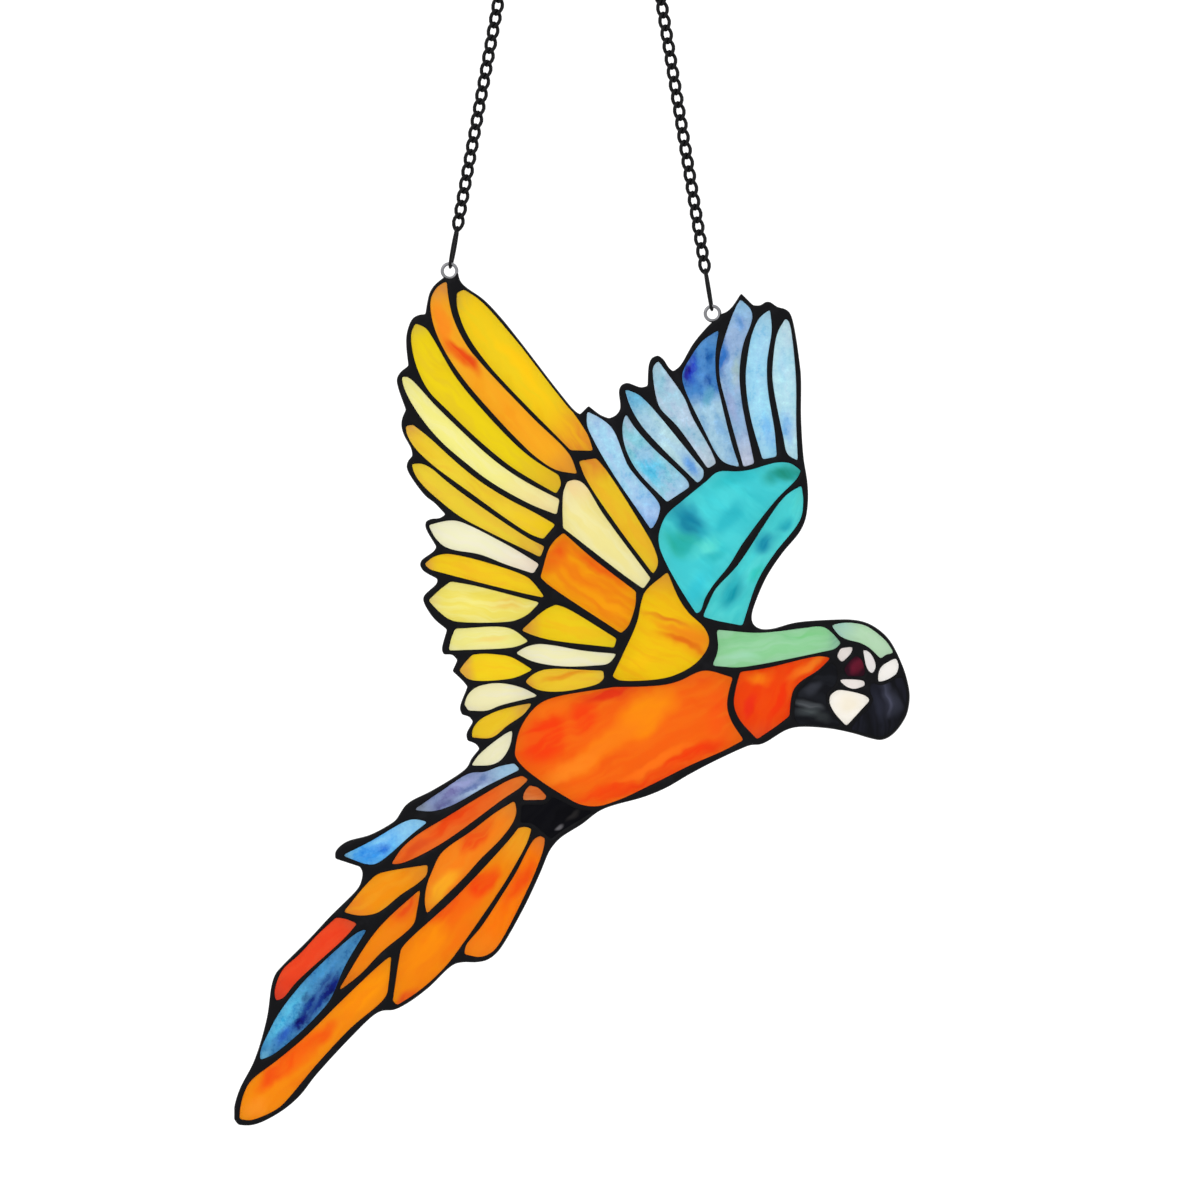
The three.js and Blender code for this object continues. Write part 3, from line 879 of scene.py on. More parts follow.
@dataclass(frozen=True)
class DarkMetal:
    """Black patina on solder, or black plating on chain."""

    # A noise is a scale, its detail and its roughness; a range is where it starts, ends and how full.
    GRAIN: ClassVar[tuple[float, float, float]] = (900.0, 3.0, 0.6)
    GRAIN_STRENGTH: ClassVar[float] = 0.35
    WEAR: ClassVar[tuple[float, float, float]] = (220.0, 2.0, 0.5)
    WEAR_RANGE: ClassVar[tuple[float, float, float]] = (0.5, 0.8, 0.5)
    WORN: ClassVar[Colour] = tint(24, 24, 28)

    name: str
    colour: Colour
    roughness: float
    shine: float
    grain_depth: float = 0.0

    def dress(self) -> bpy.types.Material:
        """Builds the material.

        Returns:
            The material, with a fine grain and wear where it has a depth.
        """
        nodes = Nodes(self.name)
        values: dict[str, object] = {"Base_Color": self.colour}
        if self.grain_depth > 0:
            grain = nodes.noise(nodes.object_place, *self.GRAIN)
            values["Normal"] = nodes.bump(grain, self.grain_depth, self.GRAIN_STRENGTH)
            worn = nodes.noise(nodes.object_place, *self.WEAR)
            share = nodes.ranged(worn, *self.WEAR_RANGE)
            values["Base_Color"] = nodes.mixed(share, self.colour, self.WORN)
        shader = nodes.principled(Roughness=self.roughness, Specular_IOR_Level=self.shine, **values)
        return nodes.finish(shader)


@dataclass(frozen=True)
class BrightWire:
    """Bright steel or tinned copper wire."""

    name: str
    colour: Colour = tint(124, 124, 127)
    roughness: float = 0.28

    def dress(self) -> bpy.types.Material:
        """Builds the material.

        Returns:
            The material.
        """
        nodes = Nodes(self.name)
        shader = nodes.principled(Base_Color=self.colour, Roughness=self.roughness, Metallic=1.0)
        return nodes.finish(shader)


PATINA = DarkMetal("black_patina", tint(9, 9, 12), 0.42, 0.07, 0.02 * MM)
CHAIN_BLACK = DarkMetal("black_chain", tint(9, 9, 11), 0.35, 0.12)
BRIGHT_WIRE = BrightWire("bright_wire")

# The glass of each pane, in the order in which the panes are cut.
GLASS: dict[str, StreakyGlass] = {
    "wing_feather_1": StreakyGlass("lemon_glass", (238, 212, 30), (248, 208, 20), marks=(
        Fade((478, 305), (460, 288), (222, 186, 66)),
        Fade((545, 398), (580, 440), (234, 158, 44)),
        Patch((520, 368), (252, 212, 16), 62, 9, 0.8),
    )),
    "wing_feather_2": StreakyGlass("amber_glass", (246, 186, 36), (246, 170, 32), streaks=0.4, marks=(
        Patch((460, 356), (236, 88, 20), 34, 9, 1.0, -46, 0.35),
        Patch((442, 322), (250, 152, 34), 32, 12, 0.9, -72, 0.3),
        Patch((520, 412), (248, 192, 34), 44, 10, 0.8),
        Fade((444, 308), (440, 284), (224, 154, 76)),
        Fade((545, 448), (568, 470), (234, 166, 52)),
    )),
    "wing_feather_3": StreakyGlass("lemon_glass", (240, 218, 22), (232, 204, 44), marks=(
        Fade((424, 340), (413, 322), (228, 204, 72)),
        Fade((515, 450), (556, 486), (234, 194, 44)),
    )),
    "wing_feather_4": StreakyGlass("cream_glass", (246, 241, 150), (248, 243, 184), streaks=0.7, marks=(
        Fade((490, 462), (552, 505), (246, 232, 176)),
    )),
    "wing_feather_5": StreakyGlass("lemon_glass", (244, 220, 60), (242, 208, 60), streaks=0.7, marks=(
        Fade((502, 500), (548, 530), (244, 212, 28)),
        Fade((428, 445), (408, 428), (236, 186, 84)),
    )),
    "wing_feather_6": StreakyGlass("golden_glass", (240, 216, 60), (240, 204, 64), streaks=0.7, marks=(
        Fade((510, 535), (542, 554), (228, 178, 70)),
    )),
    "wing_feather_7": StreakyGlass("ivory_glass", (243, 241, 210), (244, 240, 226), marks=(
        Fade((490, 540), (536, 568), (244, 232, 214)),
    )),
    "wing_feather_8": StreakyGlass("golden_glass", (245, 214, 34), (243, 196, 40), streaks=0.7, marks=(
        Fade((440, 560), (426, 564), (234, 178, 72)),
    )),
    "wing_feather_9": StreakyGlass("cream_glass", (240, 228, 112), (244, 238, 160), streaks=0.7, marks=(
        Patch((508, 604), (238, 206, 92), 30, 7, 0.9, -4),
        Fade((445, 600), (428, 600), (238, 222, 140)),
    )),
    "wing_feather_10": StreakyGlass("cream_glass", (243, 237, 150), (246, 242, 184), streaks=0.7, marks=(
        Patch((492, 640), (246, 224, 134), 24, 6, 0.8),
    )),
    "wing_feather_11": StreakyGlass("golden_glass", (246, 220, 34), (247, 204, 36), marks=(
        Fade((478, 668), (464, 670), (232, 184, 76)),
    )),
    "wing_feather_12": StreakyGlass("ivory_glass", (243, 238, 196), (240, 236, 220), streaks=0.7),
    "wing_feather_13": StreakyGlass("golden_glass", (242, 212, 46), (240, 192, 56), streaks=0.7, marks=(
        Fade((505, 716), (524, 704), (228, 184, 84)),
    )),
    "wing_feather_14": StreakyGlass("ivory_glass", (243, 240, 206), (246, 242, 226)),
    "covert_amber_strip": StreakyGlass("amber_glass", (238, 206, 44), (240, 190, 46), streaks=0.7, marks=(
        Fade((604, 488), (586, 462), (232, 154, 50)),
        Fade((640, 548), (654, 574), (240, 204, 50)),
    )),
    "covert_cream_wedge": StreakyGlass("cream_glass", (241, 232, 164), (243, 238, 192), streaks=0.7, marks=(
        Fade((578, 515), (572, 484), (250, 229, 184), 0.8),
        Fade((615, 555), (645, 582), (246, 238, 184), 0.8),
    )),
    "covert_orange": StreakyGlass(
        "flame_glass", (242, 170, 6), (236, 134, 12), streaks=0.6, grain=-36,
        marks=(
            Patch((556, 556), (238, 108, 14), 34, 15, 1.0, 60),
            Patch((600, 566), (240, 112, 10), 52, 9, 1.0, -36),
            Patch((575, 572), (240, 142, 8), 44, 11, 0.8, -36),
            Patch((616, 612), (246, 174, 8), 34, 12, 0.8, -36),
        ),
    ),
    "covert_golden": StreakyGlass("golden_glass", (240, 214, 28), (242, 200, 30), streaks=0.7, marks=(
        Fade((545, 628), (524, 626), (232, 180, 66)),
    )),
    "covert_white": StreakyGlass("ivory_glass", (244, 240, 196), (243, 240, 220), streaks=0.7),
    "covert_amber_low": StreakyGlass("golden_glass", (241, 210, 50), (239, 192, 58), streaks=0.7, marks=(
        Patch((566, 675), (234, 156, 30), 34, 5, 0.9, 4),
        Fade((540, 682), (526, 683), (230, 164, 60)),
        Fade((585, 679), (604, 676), (238, 206, 76)),
    )),
    "shoulder": StreakyGlass(
        "golden_glass", (240, 206, 12), (238, 184, 18), streaks=0.55, grain=-26,
        marks=(
            Fade((668, 606), (668, 576), (230, 170, 46), 0.95),
            Patch((696, 640), (240, 150, 20), 40, 22, 0.95, -30),
            Patch((664, 620), (226, 138, 26), 38, 4.5, 0.95, -14),
            Patch((682, 642), (226, 118, 16), 40, 5.5, 1.0, -24),
            Patch((676, 632), (236, 150, 22), 44, 5, 0.8, -22),
            Patch((640, 660), (246, 210, 14), 26, 12, 0.9, 30),
        ),
    ),
    "blue_feather_1": MottledGlass("pale_blue_glass", (176, 220, 240), (196, 212, 240), marks=(
        Fade((632, 484), (654, 522), (150, 192, 238), 0.8),
        Fade((600, 428), (590, 410), (190, 222, 240)),
    )),
    "blue_feather_2": MottledGlass("pale_blue_glass", (154, 214, 226), (198, 210, 234), marks=(
        Patch((650, 468), (92, 200, 230), 30, 16, 0.95),
        Fade((632, 440), (624, 418), (150, 198, 210)),
        Fade((662, 482), (680, 498), (180, 214, 238)),
    )),
    "blue_feather_3": MottledGlass("pale_blue_glass", (196, 226, 232), (172, 208, 234), marks=(
        Fade((652, 424), (632, 396), (120, 196, 226)),
        Patch((692, 466), (98, 164, 230), 20, 9, 0.9),
        Fade((696, 472), (704, 480), (150, 200, 236), 0.6),
    )),
    "blue_feather_4": MottledGlass("pale_blue_glass", (184, 216, 230), (208, 214, 232), marks=(
        Patch((664, 386), (156, 206, 222), 26, 12, 0.8),
        Patch((690, 432), (158, 204, 226), 22, 8, 0.7),
        Fade((695, 444), (712, 462), (206, 218, 228), 0.8),
    )),
    "blue_feather_5": MottledGlass(
        "blue_glass", (78, 146, 208), (118, 174, 222), streaks=0.4, mottle=0.7,
        marks=(
            Fade((708, 388), (712, 408), (180, 214, 230)),
            Patch((708, 396), (96, 176, 196), 15, 9, 0.9, 80),
            Patch((690, 368), (16, 34, 196), 23, 9, 1.0, 82),
            Patch((686, 372), (42, 20, 150), 14, 5, 0.9, 82),
            Patch((707, 381), (14, 88, 168), 11, 8, 1.0, 80),
            Patch((709, 357), (24, 104, 178), 10, 8, 0.9, 80),
            Patch((722, 430), (150, 196, 226), 24, 7, 0.7, 108),
        ),
    ),
    "blue_feather_6": MottledGlass(
        "blue_glass", (158, 196, 226), (192, 204, 230), streaks=0.4, mottle=0.7,
        marks=(
            Patch((723, 358), (58, 128, 204), 30, 9, 1.0, 80),
            Patch((740, 322), (102, 160, 214), 13, 7, 0.95, 95),
            Patch((738, 372), (186, 210, 204), 22, 7, 0.8, 82),
            Fade((745, 318), (740, 300), (158, 208, 234)),
            Fade((738, 425), (748, 460), (206, 212, 228), 0.9),
            Patch((732, 408), (156, 176, 218), 24, 8, 0.8, 108),
        ),
    ),
    "blue_feather_7": MottledGlass(
        "pale_blue_glass", (172, 222, 242), (190, 222, 242), streaks=0.4, mottle=0.75,
        marks=(
            Patch((768, 432), (122, 196, 242), 28, 9, 0.9, 100),
            Fade((762, 338), (766, 312), (176, 216, 234)),
        ),
    ),
    "blue_feather_8": MottledGlass(
        "pale_blue_glass", (194, 230, 240), (210, 226, 240), streaks=0.4, mottle=0.75,
        marks=(
            Patch((787, 428), (136, 196, 240), 26, 8, 0.9, 100),
            Patch((784, 365), (164, 214, 236), 26, 8, 0.6, 85),
        ),
    ),
    "turquoise_wing": StreakyGlass(
        "turquoise_glass", (84, 218, 222), (58, 200, 210),
        streaks=0.4, clouds=0.5, streak_width=6 * MM, grain=-38,
        marks=(
            Patch((688, 520), (16, 140, 172), 36, 19, 1.0, -42),
            Patch((680, 543), (38, 178, 160), 32, 19, 1.0, -20),
            Patch((786, 474), (34, 156, 138), 36, 14, 1.0, 8),
            Patch((735, 478), (40, 190, 196), 36, 12, 0.7, 20),
            Patch((728, 520), (30, 180, 196), 30, 14, 0.7, 50),
            Patch((705, 548), (112, 232, 222), 26, 13, 0.9, 40),
            Patch((698, 590), (62, 210, 224), 30, 13, 0.9, 60),
            Patch((714, 556), (40, 186, 190), 18, 10, 0.6, 30),
        ),
    ),
    "turquoise_edge": StreakyGlass(
        "turquoise_glass", (94, 222, 222), (64, 206, 212), clouds=0.5, streak_width=5 * MM,
        marks=(
            Patch((765, 543), (16, 146, 178), 18, 14, 1.0, 30),
            Patch((782, 524), (28, 164, 186), 14, 10, 0.95, 60),
            Patch((731, 592), (10, 158, 176), 30, 15, 1.0, 62),
            Patch((757, 574), (52, 204, 184), 18, 9, 0.8, 50),
            Patch((795, 500), (90, 216, 212), 18, 9, 0.8, 70),
        ),
    ),
    "neck": StreakyGlass("green_glass", (156, 217, 164), (180, 224, 194), grain=8, marks=(
        Fade((818, 640), (838, 643), (134, 186, 160), 0.9),
        Patch((798, 636), (138, 214, 146), 34, 6, 0.8, 8),
        Patch((742, 656), (176, 226, 196), 30, 7, 0.9, 4),
    )),
    "crown": StreakyGlass("green_glass", (198, 228, 198), (186, 222, 184), marks=(
        Fade((862, 632), (838, 626), (176, 216, 206)),
    )),
    "body": FlameGlass("flame_glass", (240, 110, 10), (242, 134, 20), grain=26, marks=(
        Patch((646, 714), (246, 156, 4), 44, 25, 1.0, 40, 0.4),
        Patch((606, 746), (244, 144, 16), 64, 17, 0.95, 36, 0.3),
        Patch((574, 766), (248, 154, 34), 50, 11, 0.9, 30, 0.3),
        Patch((546, 738), (242, 72, 6), 40, 28, 1.0, 50, 0.4),
        Patch((586, 716), (242, 76, 8), 26, 18, 1.0, 70, 0.3),
        Patch((552, 708), (246, 122, 14), 28, 11, 1.0, 14, 0.3),
        Patch((610, 694), (232, 62, 18), 36, 9, 1.0, 10, 0.3),
        Patch((612, 792), (242, 88, 6), 60, 12, 1.0, 18, 0.4),
        Patch((680, 764), (242, 76, 6), 74, 12, 1.0, 28, 0.4),
        Patch((656, 762), (250, 130, 22), 54, 6, 0.9, 26, 0.3),
        Patch((720, 712), (244, 102, 14), 22, 34, 0.95, 0, 0.3),
        Patch((690, 678), (238, 96, 18), 40, 9, 0.8, 14, 0.3),
    )),
    "breast": FlameGlass("flame_glass", (238, 72, 2), (240, 98, 6), grain=70, marks=(
        Patch((759, 678), (246, 138, 12), 19, 10, 1.0, 10),
        Patch((806, 666), (248, 136, 30), 32, 8, 1.0, 34),
        Patch((780, 700), (242, 60, 2), 30, 13, 0.9, 70),
        Patch((749, 706), (238, 54, 20), 20, 9, 0.9, 70),
        Patch((790, 690), (246, 104, 14), 20, 6, 0.8, 70),
        Fade((757, 718), (756, 738), (234, 88, 36), 0.8),
    )),
    "cheek_black": BlackGlass("black_glass", (12, 13, 18), (26, 28, 34), grain=-8, marks=(
        # The grey patches are painted sheen on the black glass, partly a grey swirl in the glass itself.
        Patch((808, 705), (84, 88, 92), 20, 6, 0.8, -8),
        Patch((806, 713), (70, 76, 78), 17, 7, 0.8, 10),
        Patch((812, 690), (48, 50, 58), 16, 8, 0.8, 30),
        Patch((822, 716), (48, 52, 54), 13, 7, 0.7, -20),
    )),
    "beak": BlackGlass("black_glass", (12, 13, 18), (26, 27, 38), streaks=0.6, grain=102, marks=(
        # The grey patches are painted highlights on the black glass.
        Patch((886, 697), (70, 72, 90), 24, 9, 0.8, 100),
        Patch((876, 706), (42, 44, 58), 22, 8, 0.7, 110),
        Patch((894, 703), (44, 46, 58), 20, 6, 0.7, 95),
    )),
    "beak_base_white": StreakyGlass("white_glass", (255, 252, 248)),
    "eye_white_left": StreakyGlass("white_glass", (248, 240, 236)),
    "eye_white_right": StreakyGlass("white_glass", (250, 246, 244)),
    "eye": StreakyGlass("ruby_glass", (48, 6, 26), clouds=0.0, shine=0.08, through=0.25, marks=(
        Patch((858, 667), (104, 20, 44), 11, 9, 1.0, core=0.3),
    )),
    "eye_white_below": StreakyGlass("white_glass", (254, 248, 244)),
    "cheek_white": StreakyGlass("white_glass", (254, 250, 242), marks=(
        Patch((847, 703), (242, 234, 214), 14, 12, 0.7),
    )),
    "tail_violet": StreakyGlass(
        "violet_glass", (140, 154, 196), (170, 192, 222), streaks=0.4, mottle=0.5,
        marks=(
            Fade((484, 782), (504, 770), (172, 212, 234)),
            Patch((480, 788), (186, 212, 236), 34, 7, 1.0),
            Patch((460, 784), (166, 170, 216), 26, 6, 0.9),
            Patch((470, 787), (96, 116, 176), 22, 4, 0.9),
            Patch((483, 776), (70, 106, 168), 8, 4, 0.8),
            Patch((450, 794), (112, 92, 166), 16, 7, 0.9),
            Patch((441, 803), (76, 54, 138), 18, 7, 1.0),
            Fade((434, 804), (422, 808), (132, 140, 154), 0.9),
        ),
    ),
    "tail_light_blue": StreakyGlass(
        "pale_blue_glass", (104, 192, 244), (142, 210, 248), streaks=0.4, mottle=0.7,
        marks=(
            Fade((388, 842), (408, 832), (152, 212, 244)),
            Patch((369, 855), (46, 160, 236), 24, 11, 0.9),
            Patch((384, 848), (30, 116, 214), 12, 7, 1.0),
            Patch((384, 838), (150, 214, 250), 22, 5, 0.8),
            Fade((358, 856), (346, 857), (124, 182, 212), 0.9),
        ),
    ),
    "tail_red_orange": StreakyGlass("flame_glass", (242, 114, 32), (244, 134, 46), streaks=0.35, marks=(
        Patch((452, 822), (242, 80, 12), 36, 11, 1.0, core=0.3),
        Fade((478, 804), (516, 783), (236, 132, 48), 0.9),
        Patch((420, 848), (230, 92, 34), 24, 7, 0.8),
    )),
    "rump_orange": StreakyGlass("amber_glass", (230, 122, 48), (216, 94, 32), marks=(
        Fade((535, 793), (532, 799), (236, 144, 76), 0.8),
    )),
    "rump_black": BlackGlass("black_glass", (4, 4, 9), (10, 10, 14), shine=0.04, grain=42, marks=(
        # The two grey patches are a painted glint on the black glass.
        Patch((559, 828), (96, 94, 98), 8, 3, 0.95, 35),
        Patch((573, 815), (44, 42, 42), 12, 3, 0.8, 42),
    )),
    "tail_amber": StreakyGlass("amber_glass", (246, 142, 24), (242, 160, 38), streaks=0.35, marks=(
        Patch((473, 838), (240, 82, 14), 24, 13, 1.0, core=0.3),
        Patch((484, 826), (238, 110, 22), 26, 9, 0.8),
        Patch((442, 886), (250, 186, 36), 32, 13, 1.0, core=0.35),
        Fade((496, 822), (514, 804), (234, 144, 48), 0.9),
    )),
    "tail_leaf": StreakyGlass("amber_glass", (244, 160, 14), (244, 172, 34), streaks=0.7, marks=(
        Fade((372, 896), (348, 910), (240, 146, 44), 0.9),
        Fade((404, 879), (425, 868), (236, 160, 50), 0.8),
    )),
    "tail_blade": StreakyGlass("amber_glass", (246, 142, 10), (244, 162, 24), streaks=0.35, marks=(
        Patch((406, 906), (242, 100, 22), 22, 12, 1.0, core=0.3),
        Patch((378, 935), (246, 156, 14), 26, 9, 0.8),
        Fade((366, 958), (346, 984), (234, 122, 24), 0.8),
    )),
    "tail_red": StreakyGlass("red_glass", (242, 78, 36), (244, 92, 44), marks=(
        Fade((300, 972), (280, 996), (226, 68, 42), 0.8),
        Fade((340, 930), (356, 920), (226, 92, 52), 0.8),
    )),
    "tail_blue": StreakyGlass(
        "blue_glass", (70, 142, 194), (96, 166, 210), streaks=0.4, clouds=0.1, mottle=0.9,
        marks=(
            Patch((286, 1014), (104, 208, 238), 52, 15, 1.0, 56),
            Patch((322, 970), (78, 162, 212), 22, 9, 0.9, 50),
            Patch((330, 987), (10, 34, 132), 26, 14, 1.0, 58, 0.3),
            Patch((314, 1004), (14, 50, 142), 22, 12, 1.0, 56, 0.3),
            Patch((307, 996), (20, 70, 128), 8, 5, 0.9, 70),
            Patch((302, 1020), (12, 30, 134), 16, 9, 1.0, 50, 0.3),
            Patch((284, 1034), (46, 96, 192), 20, 8, 0.9, 48),
            Patch((264, 1056), (118, 194, 222), 12, 6, 0.9, 50),
        ),
    ),
    "tail_orange_long": FlameGlass("amber_glass", (244, 150, 6), (240, 132, 8), marks=(
        Fade((497, 872), (518, 836), (244, 176, 36)),
        Patch((470, 898), (246, 118, 8), 50, 15, 0.95, core=0.4),
        Patch((484, 882), (244, 76, 6), 26, 13, 1.0, core=0.35),
        Patch((446, 908), (244, 100, 12), 44, 10, 1.0, core=0.3),
        Patch((424, 946), (250, 164, 0), 42, 15, 1.0, core=0.4),
        Patch((462, 934), (246, 128, 8), 34, 10, 0.8, core=0.3),
        Patch((406, 996), (236, 92, 26), 20, 9, 0.9, 40, 0.3),
    )),
    "tail_orange_outer": FlameGlass(
        "amber_glass", (250, 140, 2), (248, 126, 8), streak_width=3 * MM,
        marks=(
            Patch((519, 884), (246, 100, 6), 36, 10, 1.0, core=0.3),
            Fade((534, 858), (541, 838), (232, 130, 50), 0.9),
            Fade((500, 918), (480, 950), (246, 144, 22), 0.95),
        ),
    ),
    "tail_tip": FlameGlass("amber_glass", (246, 156, 10), (244, 138, 12), marks=(
        Patch((366, 990), (252, 166, 0), 42, 14, 1.0, core=0.4),
        Patch((294, 1055), (248, 114, 10), 60, 16, 1.0, 41, 0.3),
        Patch((322, 1036), (244, 96, 10), 26, 9, 0.9, 44, 0.15),
        Patch((272, 1076), (244, 96, 14), 24, 11, 0.9, 44, 0.15),
        Patch((254, 1106), (250, 162, 36), 22, 12, 0.95, 30, 0.3),
    )),
}


@dataclass
class Pane:
    """One pane of glass, gently rippled on both faces."""

    name: str
    finish: StreakyGlass
    rim: np.ndarray
    thickness: float = 3 * MM
    ripple: float = 0.045 * MM
    ripple_length: float = 9 * MM
    ripple_ease: float = 2 * MM
    spacing: float = 1.1 * MM
    inside_coarser: float = 1.6
    corner: float = CORNER_TURN
    back_seed: int = 1000

    def build(self, seed: int) -> bpy.types.Object:
        """Cuts the pane to its node's outline and dresses it.

        Args:
            seed: Which pattern of ripples.

        Returns:
            The finished piece.
        """
        edge = Outlines.of_front(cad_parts[self.name])[0]
        if Outlines.area(edge) < 0:
            edge = edge[::-1]
        edge = Outlines.rounded(edge, self.corner, self.spacing, 0)
        outline = Outlines.as_shown(edge, self.rim, RIM_LEAST - GLASS_LAP)
        points, triangles = Outlines.filled([outline], self.inside_coarser * self.spacing)
        count = len(points)
        ease = np.clip(Outlines.distances(points, [outline]) / self.ripple_ease, 0, 1)
        depths = [
            self.thickness / 2
            - self.ripple * ease * (1 + unevenness(points, self.ripple_length, s)).clip(0)
            for s in (seed, seed + self.back_seed)
        ]
        front = np.column_stack([points[:, 0], -depths[0], points[:, 1]])
        back = np.column_stack([points[:, 0], depths[1], points[:, 1]])
        faces = two_sheets(triangles, count)
        rim = len(outline)
        faces += strip(range(count, count + rim), range(rim))
        pane = body_of("glass_" + self.name, np.vstack([front, back]), faces, SHARP_GLASS)
        pane.data.materials.append(self.finish.dress(self.name, outline))
        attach(pane, BODY)
        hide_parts(self.name)
        return pane


@dataclass
class SolderLines:
    """All the seams and the rim, as rounded beads run by hand round the panes."""

    finish: DarkMetal
    node: str = "solder_lines"
    glass_half: float = 1.56 * MM
    crest: float = 2.27 * MM
    edge_half: float = 1.1 * MM
    bead_reach: float = 1.5 * MM
    rim_reach: float = 1.15 * MM
    groove: float = 0.45 * MM
    cover: float = 0.3 * MM
    spacing: float = 0.52 * MM
    rows: tuple[float, ...] = (0.28 * MM, 0.75 * MM)
    lump: float = 0.07 * MM
    lump_length: float = 7 * MM
    half_limit: float = 2.3 * MM
    corner: float = CORNER_TURN
    smoothing: int = 3

    def build(self, loops: list[np.ndarray]) -> bpy.types.Object:
        """Casts the solder and dresses it.

        Args:
            loops: The rim and then the windows, as `edges` gives them.

        Returns:
            The finished piece.
        """
        points, triangles = Outlines.filled(loops, self.spacing, self.rows)
        half = self.half_thickness(points, triangles, loops)
        count = len(points)
        height = (half - self.glass_half).clip(0) / (self.crest - self.glass_half)
        lumps = self.lump * unevenness(points, self.lump_length, SEED)
        front = np.column_stack([points[:, 0], -(half + lumps * height), points[:, 1]])
        lumps = self.lump * unevenness(points, self.lump_length, SEED + 1)
        back = np.column_stack([points[:, 0], half + lumps * height, points[:, 1]])
        front[:, 1] = front[:, 1].clip(-self.half_limit, None)
        back[:, 1] = back[:, 1].clip(None, self.half_limit)
        faces = two_sheets(triangles, count)
        first = len(loops[0])
        faces += strip(range(count, count + first), range(first))
        grooves, walls = self.grooves(loops, count)
        solder = body_of("solder_beads", np.vstack([front, back, *grooves]), faces + walls, SHARP_METAL)
        solder.data.materials.append(self.finish.dress())
        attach(solder, BODY)
        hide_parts(self.node)
        return solder

    def grooves(self, loops: list[np.ndarray], count: int) -> tuple[list[np.ndarray], Faces]:
        """Cuts the groove round each window, which holds the edge of the glass.

        Args:
            loops: The rim and then the windows.
            count: How many points the front has, and the back after it.

        Returns:
            The points of the grooves, and the faces from the front through them to the back.
        """
        parts: list[np.ndarray] = []
        faces: Faces = []
        first = len(loops[0])
        total = 2 * count
        for loop in loops[1:]:
            ring = len(loop)
            wide = Outlines.moved_out(loop, self.groove)
            for side in (-1, 1):
                depth = np.full(ring, side * self.glass_half)
                parts.append(np.column_stack([wide[:, 0], depth, wide[:, 1]]))
            rows = [range(first, first + ring), range(total, total + ring)]
            rows += [range(total + ring, total + 2 * ring), range(count + first, count + first + ring)]
            for near, far in zip(rows, rows[1:]):
                faces += strip(near, far)
            first += ring
            total += 2 * ring
        return parts, faces

    def edges(self) -> list[np.ndarray]:
        """Finds the outer edge of the solder, and then the edge of each window in it.

        Returns:
            The edges, anticlockwise.
        """
        loops = Outlines.of_front(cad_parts[self.node])
        lowest, highest = loops[0].min(axis=0), loops[0].max(axis=0)
        loops = [loop if Outlines.area(loop) > 0 else loop[::-1] for loop in loops]
        rim, *windows = [Outlines.rounded(loop, self.corner, self.spacing, 1) for loop in loops]
        rim = rim.clip(lowest, highest)
        return [rim] + [Outlines.as_shown(window, rim, RIM_LEAST) for window in windows]

    def half_thickness(
        self, points: np.ndarray, triangles: np.ndarray, loops: list[np.ndarray]
    ) -> np.ndarray:
        """Gives half the thickness of the solder at each point.

        Args:
            points: X and Z of each point.
            triangles: The triangles between them.
            loops: The rim and then the windows, whose points come first and stay as they are.

        Returns:
            Half the thickness, in metres.
        """

        def rise(distance: np.ndarray, reach: float) -> np.ndarray:
            """Rises from 0 to 1 over the reach, as a quarter circle."""
            return np.sqrt(1 - (1 - (distance / reach).clip(0, 1)) ** 2)

        from_rim = Outlines.distances(points, loops[:1])
        from_window = Outlines.distances(points, loops[1:])
        bead = self.glass_half + (self.crest - self.glass_half) * rise(from_window, self.bead_reach)
        edge = self.edge_half + (self.crest - self.edge_half) * rise(from_rim, self.rim_reach)
        half = np.minimum(bead, edge)
        fixed = sum(len(loop) for loop in loops)
        pairs = np.vstack([triangles[:, [0, 1]], triangles[:, [1, 2]], triangles[:, [2, 0]]])
        for _ in range(self.smoothing):
            total = np.zeros(len(points))
            shares = np.zeros(len(points))
            np.add.at(total, pairs[:, 0], half[pairs[:, 1]])
            np.add.at(total, pairs[:, 1], half[pairs[:, 0]])
            np.add.at(shares, pairs.reshape(-1), 1)
            eased = 0.5 * half + 0.5 * total / shares.clip(1)
            half[fixed:] = eased[fixed:]
        covered = self.glass_half + self.cover * rise(from_window, self.groove)
        half[fixed:] = np.maximum(half, covered)[fixed:]
        return half


